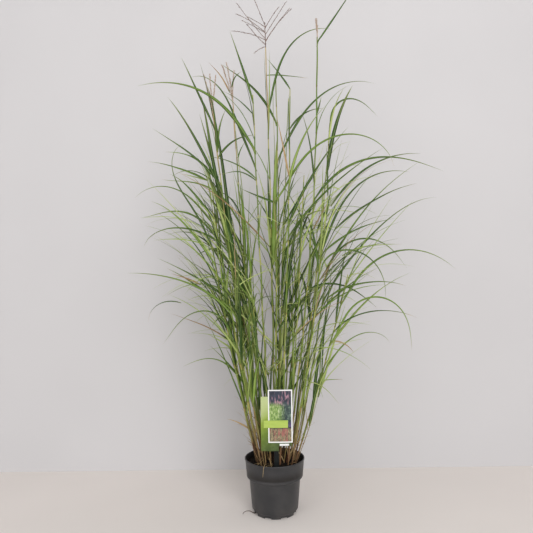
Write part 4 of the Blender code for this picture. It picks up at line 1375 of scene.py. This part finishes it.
tree.links.new(picture, shader.inputs["Base Color"])
print("label materials made")


# %% Label plates
def bow(x, z):
    """How far the label's cards bow back at a place; nothing at the stake's line."""
    return 0.0016 * ((x - 0.010) / 0.04) ** 2 + 0.0012 * sin((z - 0.20) * 9.0)


def plate(name, low, high, cells_x, cells_z, cut=None):
    """A thin closed plate of cells between two corners, bowed like the whole label."""
    xs = list(np.linspace(low.x, high.x, cells_x + 1))
    zs = list(np.linspace(low.z, high.z, cells_z + 1))
    if cut:
        xs, zs = sorted([*xs, cut[0]]), sorted([*zs, cut[1]])
    cells = [
        (i, j)
        for i in range(len(xs) - 1)
        for j in range(len(zs) - 1)
        if not (cut and xs[i] >= cut[0] and zs[j + 1] <= cut[1])
    ]
    shape = bmesh.new()
    corners, sides = {}, {}

    def corner(face, i, j):
        """The plate's corner at one place of the grid, made when first asked for."""
        if (face, i, j) not in corners:
            y = (low.y, high.y)[face] + bow(xs[i], zs[j])
            corners[face, i, j] = shape.verts.new((xs[i], y, zs[j]))
        return corners[face, i, j]

    for i, j in cells:
        loop = [(i, j), (i + 1, j), (i + 1, j + 1), (i, j + 1)]
        shape.faces.new([corner(0, *place) for place in loop])
        shape.faces.new([corner(1, *place) for place in reversed(loop)])
        for a, b in zip(loop, [*loop[1:], loop[0]]):
            sides[a, b] = None if (b, a) in sides else (a, b)
            if (b, a) in sides:
                sides[b, a] = None
    for a, b in (edge for edge in sides.values() if edge):
        shape.faces.new([corner(0, *b), corner(0, *a), corner(1, *a), corner(1, *b)])
    mesh = bpy.data.meshes.new(name)
    bmesh.ops.recalc_face_normals(shape, faces=shape.faces)
    shape.to_mesh(mesh)
    shape.free()
    return mesh


BACK_LOW, BACK_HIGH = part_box("label_backing_with_stake")
back_y = (BACK_LOW.y + BACK_HIGH.y) / 2
panel_low = Vector((BACK_LOW.x, back_y - 0.0004, 0.189))
panel_high = Vector((BACK_HIGH.x, back_y + 0.0004, BACK_HIGH.z))
stake_low = Vector((-0.0019, back_y + 0.0006, BACK_LOW.z))
stake_high = Vector((0.0111, back_y + 0.0016, 0.300))
CUT = (0.0113, 0.2025)  # the cut corner reaches this far left and this far up
for name, mesh, slot, node, mat in (
    ("label_backing", plate("backing", panel_low, panel_high, 20, 30, CUT), "label_green",
     ["label_backing_with_stake"], backing_mat),
    ("label_stake", plate("stake", stake_low, stake_high, 4, 24), "label_green", (), stake_mat),
    ("label_card", plate("card", CARD_LOW, CARD_HIGH, 16, 30), "card_print",
     ["picture_card"], card_mat),
    ("label_strip", plate("strip", STRIP_LOW, STRIP_HIGH, 16, 5), "strip_lime",
     ["name_strip"], strip_mat),
):
    keep(name, mesh, node, mat, smooth=False)
tab_low = Vector((0.0135, back_y - 0.0010, 0.2035))
tab_high = Vector((0.0390, back_y - 0.0006, 0.2090))
keep("label_tab", plate("tab", tab_low, tab_high, 6, 2), (), white_mat, smooth=False)

# %% [markdown]
# ## Floor, backdrop and light
# The plant stands on a plain pale floor in front of a plain pale wall. A broad key light
# from the front right, one overhead and a weaker fill from the left give soft, even light.

# %% Floor, backdrop and light
studio_mats = []
for name, grey in (("pale_floor", (0.790, 0.735, 0.700)), ("pale_wall", (0.545, 0.533, 0.540))):
    mat, tree, shader = start_material(name, 0.8, specular=0.1)
    cloud = speckle(tree, own_place(tree), 1.6, 2.0)
    pale = ramp(tree, cloud, (0.3, grey), (0.7, tuple(c * 1.05 for c in grey)))
    tree.links.new(pale, shader.inputs["Base Color"])
    studio_mats.append(mat)
WALL_Y = 0.325
for name, mat, corners in (
    ("floor", studio_mats[0], ((-4, -4, 0), (4, -4, 0), (4, WALL_Y, 0), (-4, WALL_Y, 0))),
    ("backdrop", studio_mats[1], ((-4, WALL_Y, 0), (4, WALL_Y, 0), (4, WALL_Y, 4), (-4, WALL_Y, 4))),
):
    mesh = bpy.data.meshes.new(name)
    mesh.from_pydata(corners, [], [(0, 1, 2, 3)])
    mesh.materials.append(mat)
    obj = bpy.data.objects.new(name, mesh)
    bpy.context.scene.collection.objects.link(obj)


def soft_light(name, power, size, place, aim):
    """A square area light at a place, turned towards a point."""
    data = bpy.data.lights.new(name, "AREA")
    data.energy, data.size = power, size
    obj = bpy.data.objects.new(name, data)
    obj.location = place
    obj.rotation_euler = (Vector(aim) - Vector(place)).to_track_quat("-Z", "Y").to_euler()
    bpy.context.scene.collection.objects.link(obj)


soft_light("key", 155.0, 3.0, (1.3, -4.4, 2.2), (0.0, 0.0, 0.6))
soft_light("overhead", 4.0, 1.6, (-0.2, -1.3, 2.6), (0.0, 0.0, 0.4))
soft_light("front_fill", 36.0, 2.4, (-2.0, -3.2, 0.7), (0.0, 0.0, 0.5))
world = bpy.data.worlds.new("even_light")
world.use_nodes = True
world.node_tree.nodes["Background"].inputs[0].default_value = (1.0, 1.0, 1.0, 1.0)
world.node_tree.nodes["Background"].inputs[1].default_value = 0.44
bpy.context.scene.world = world
bpy.context.scene.view_settings.view_transform = "Standard"
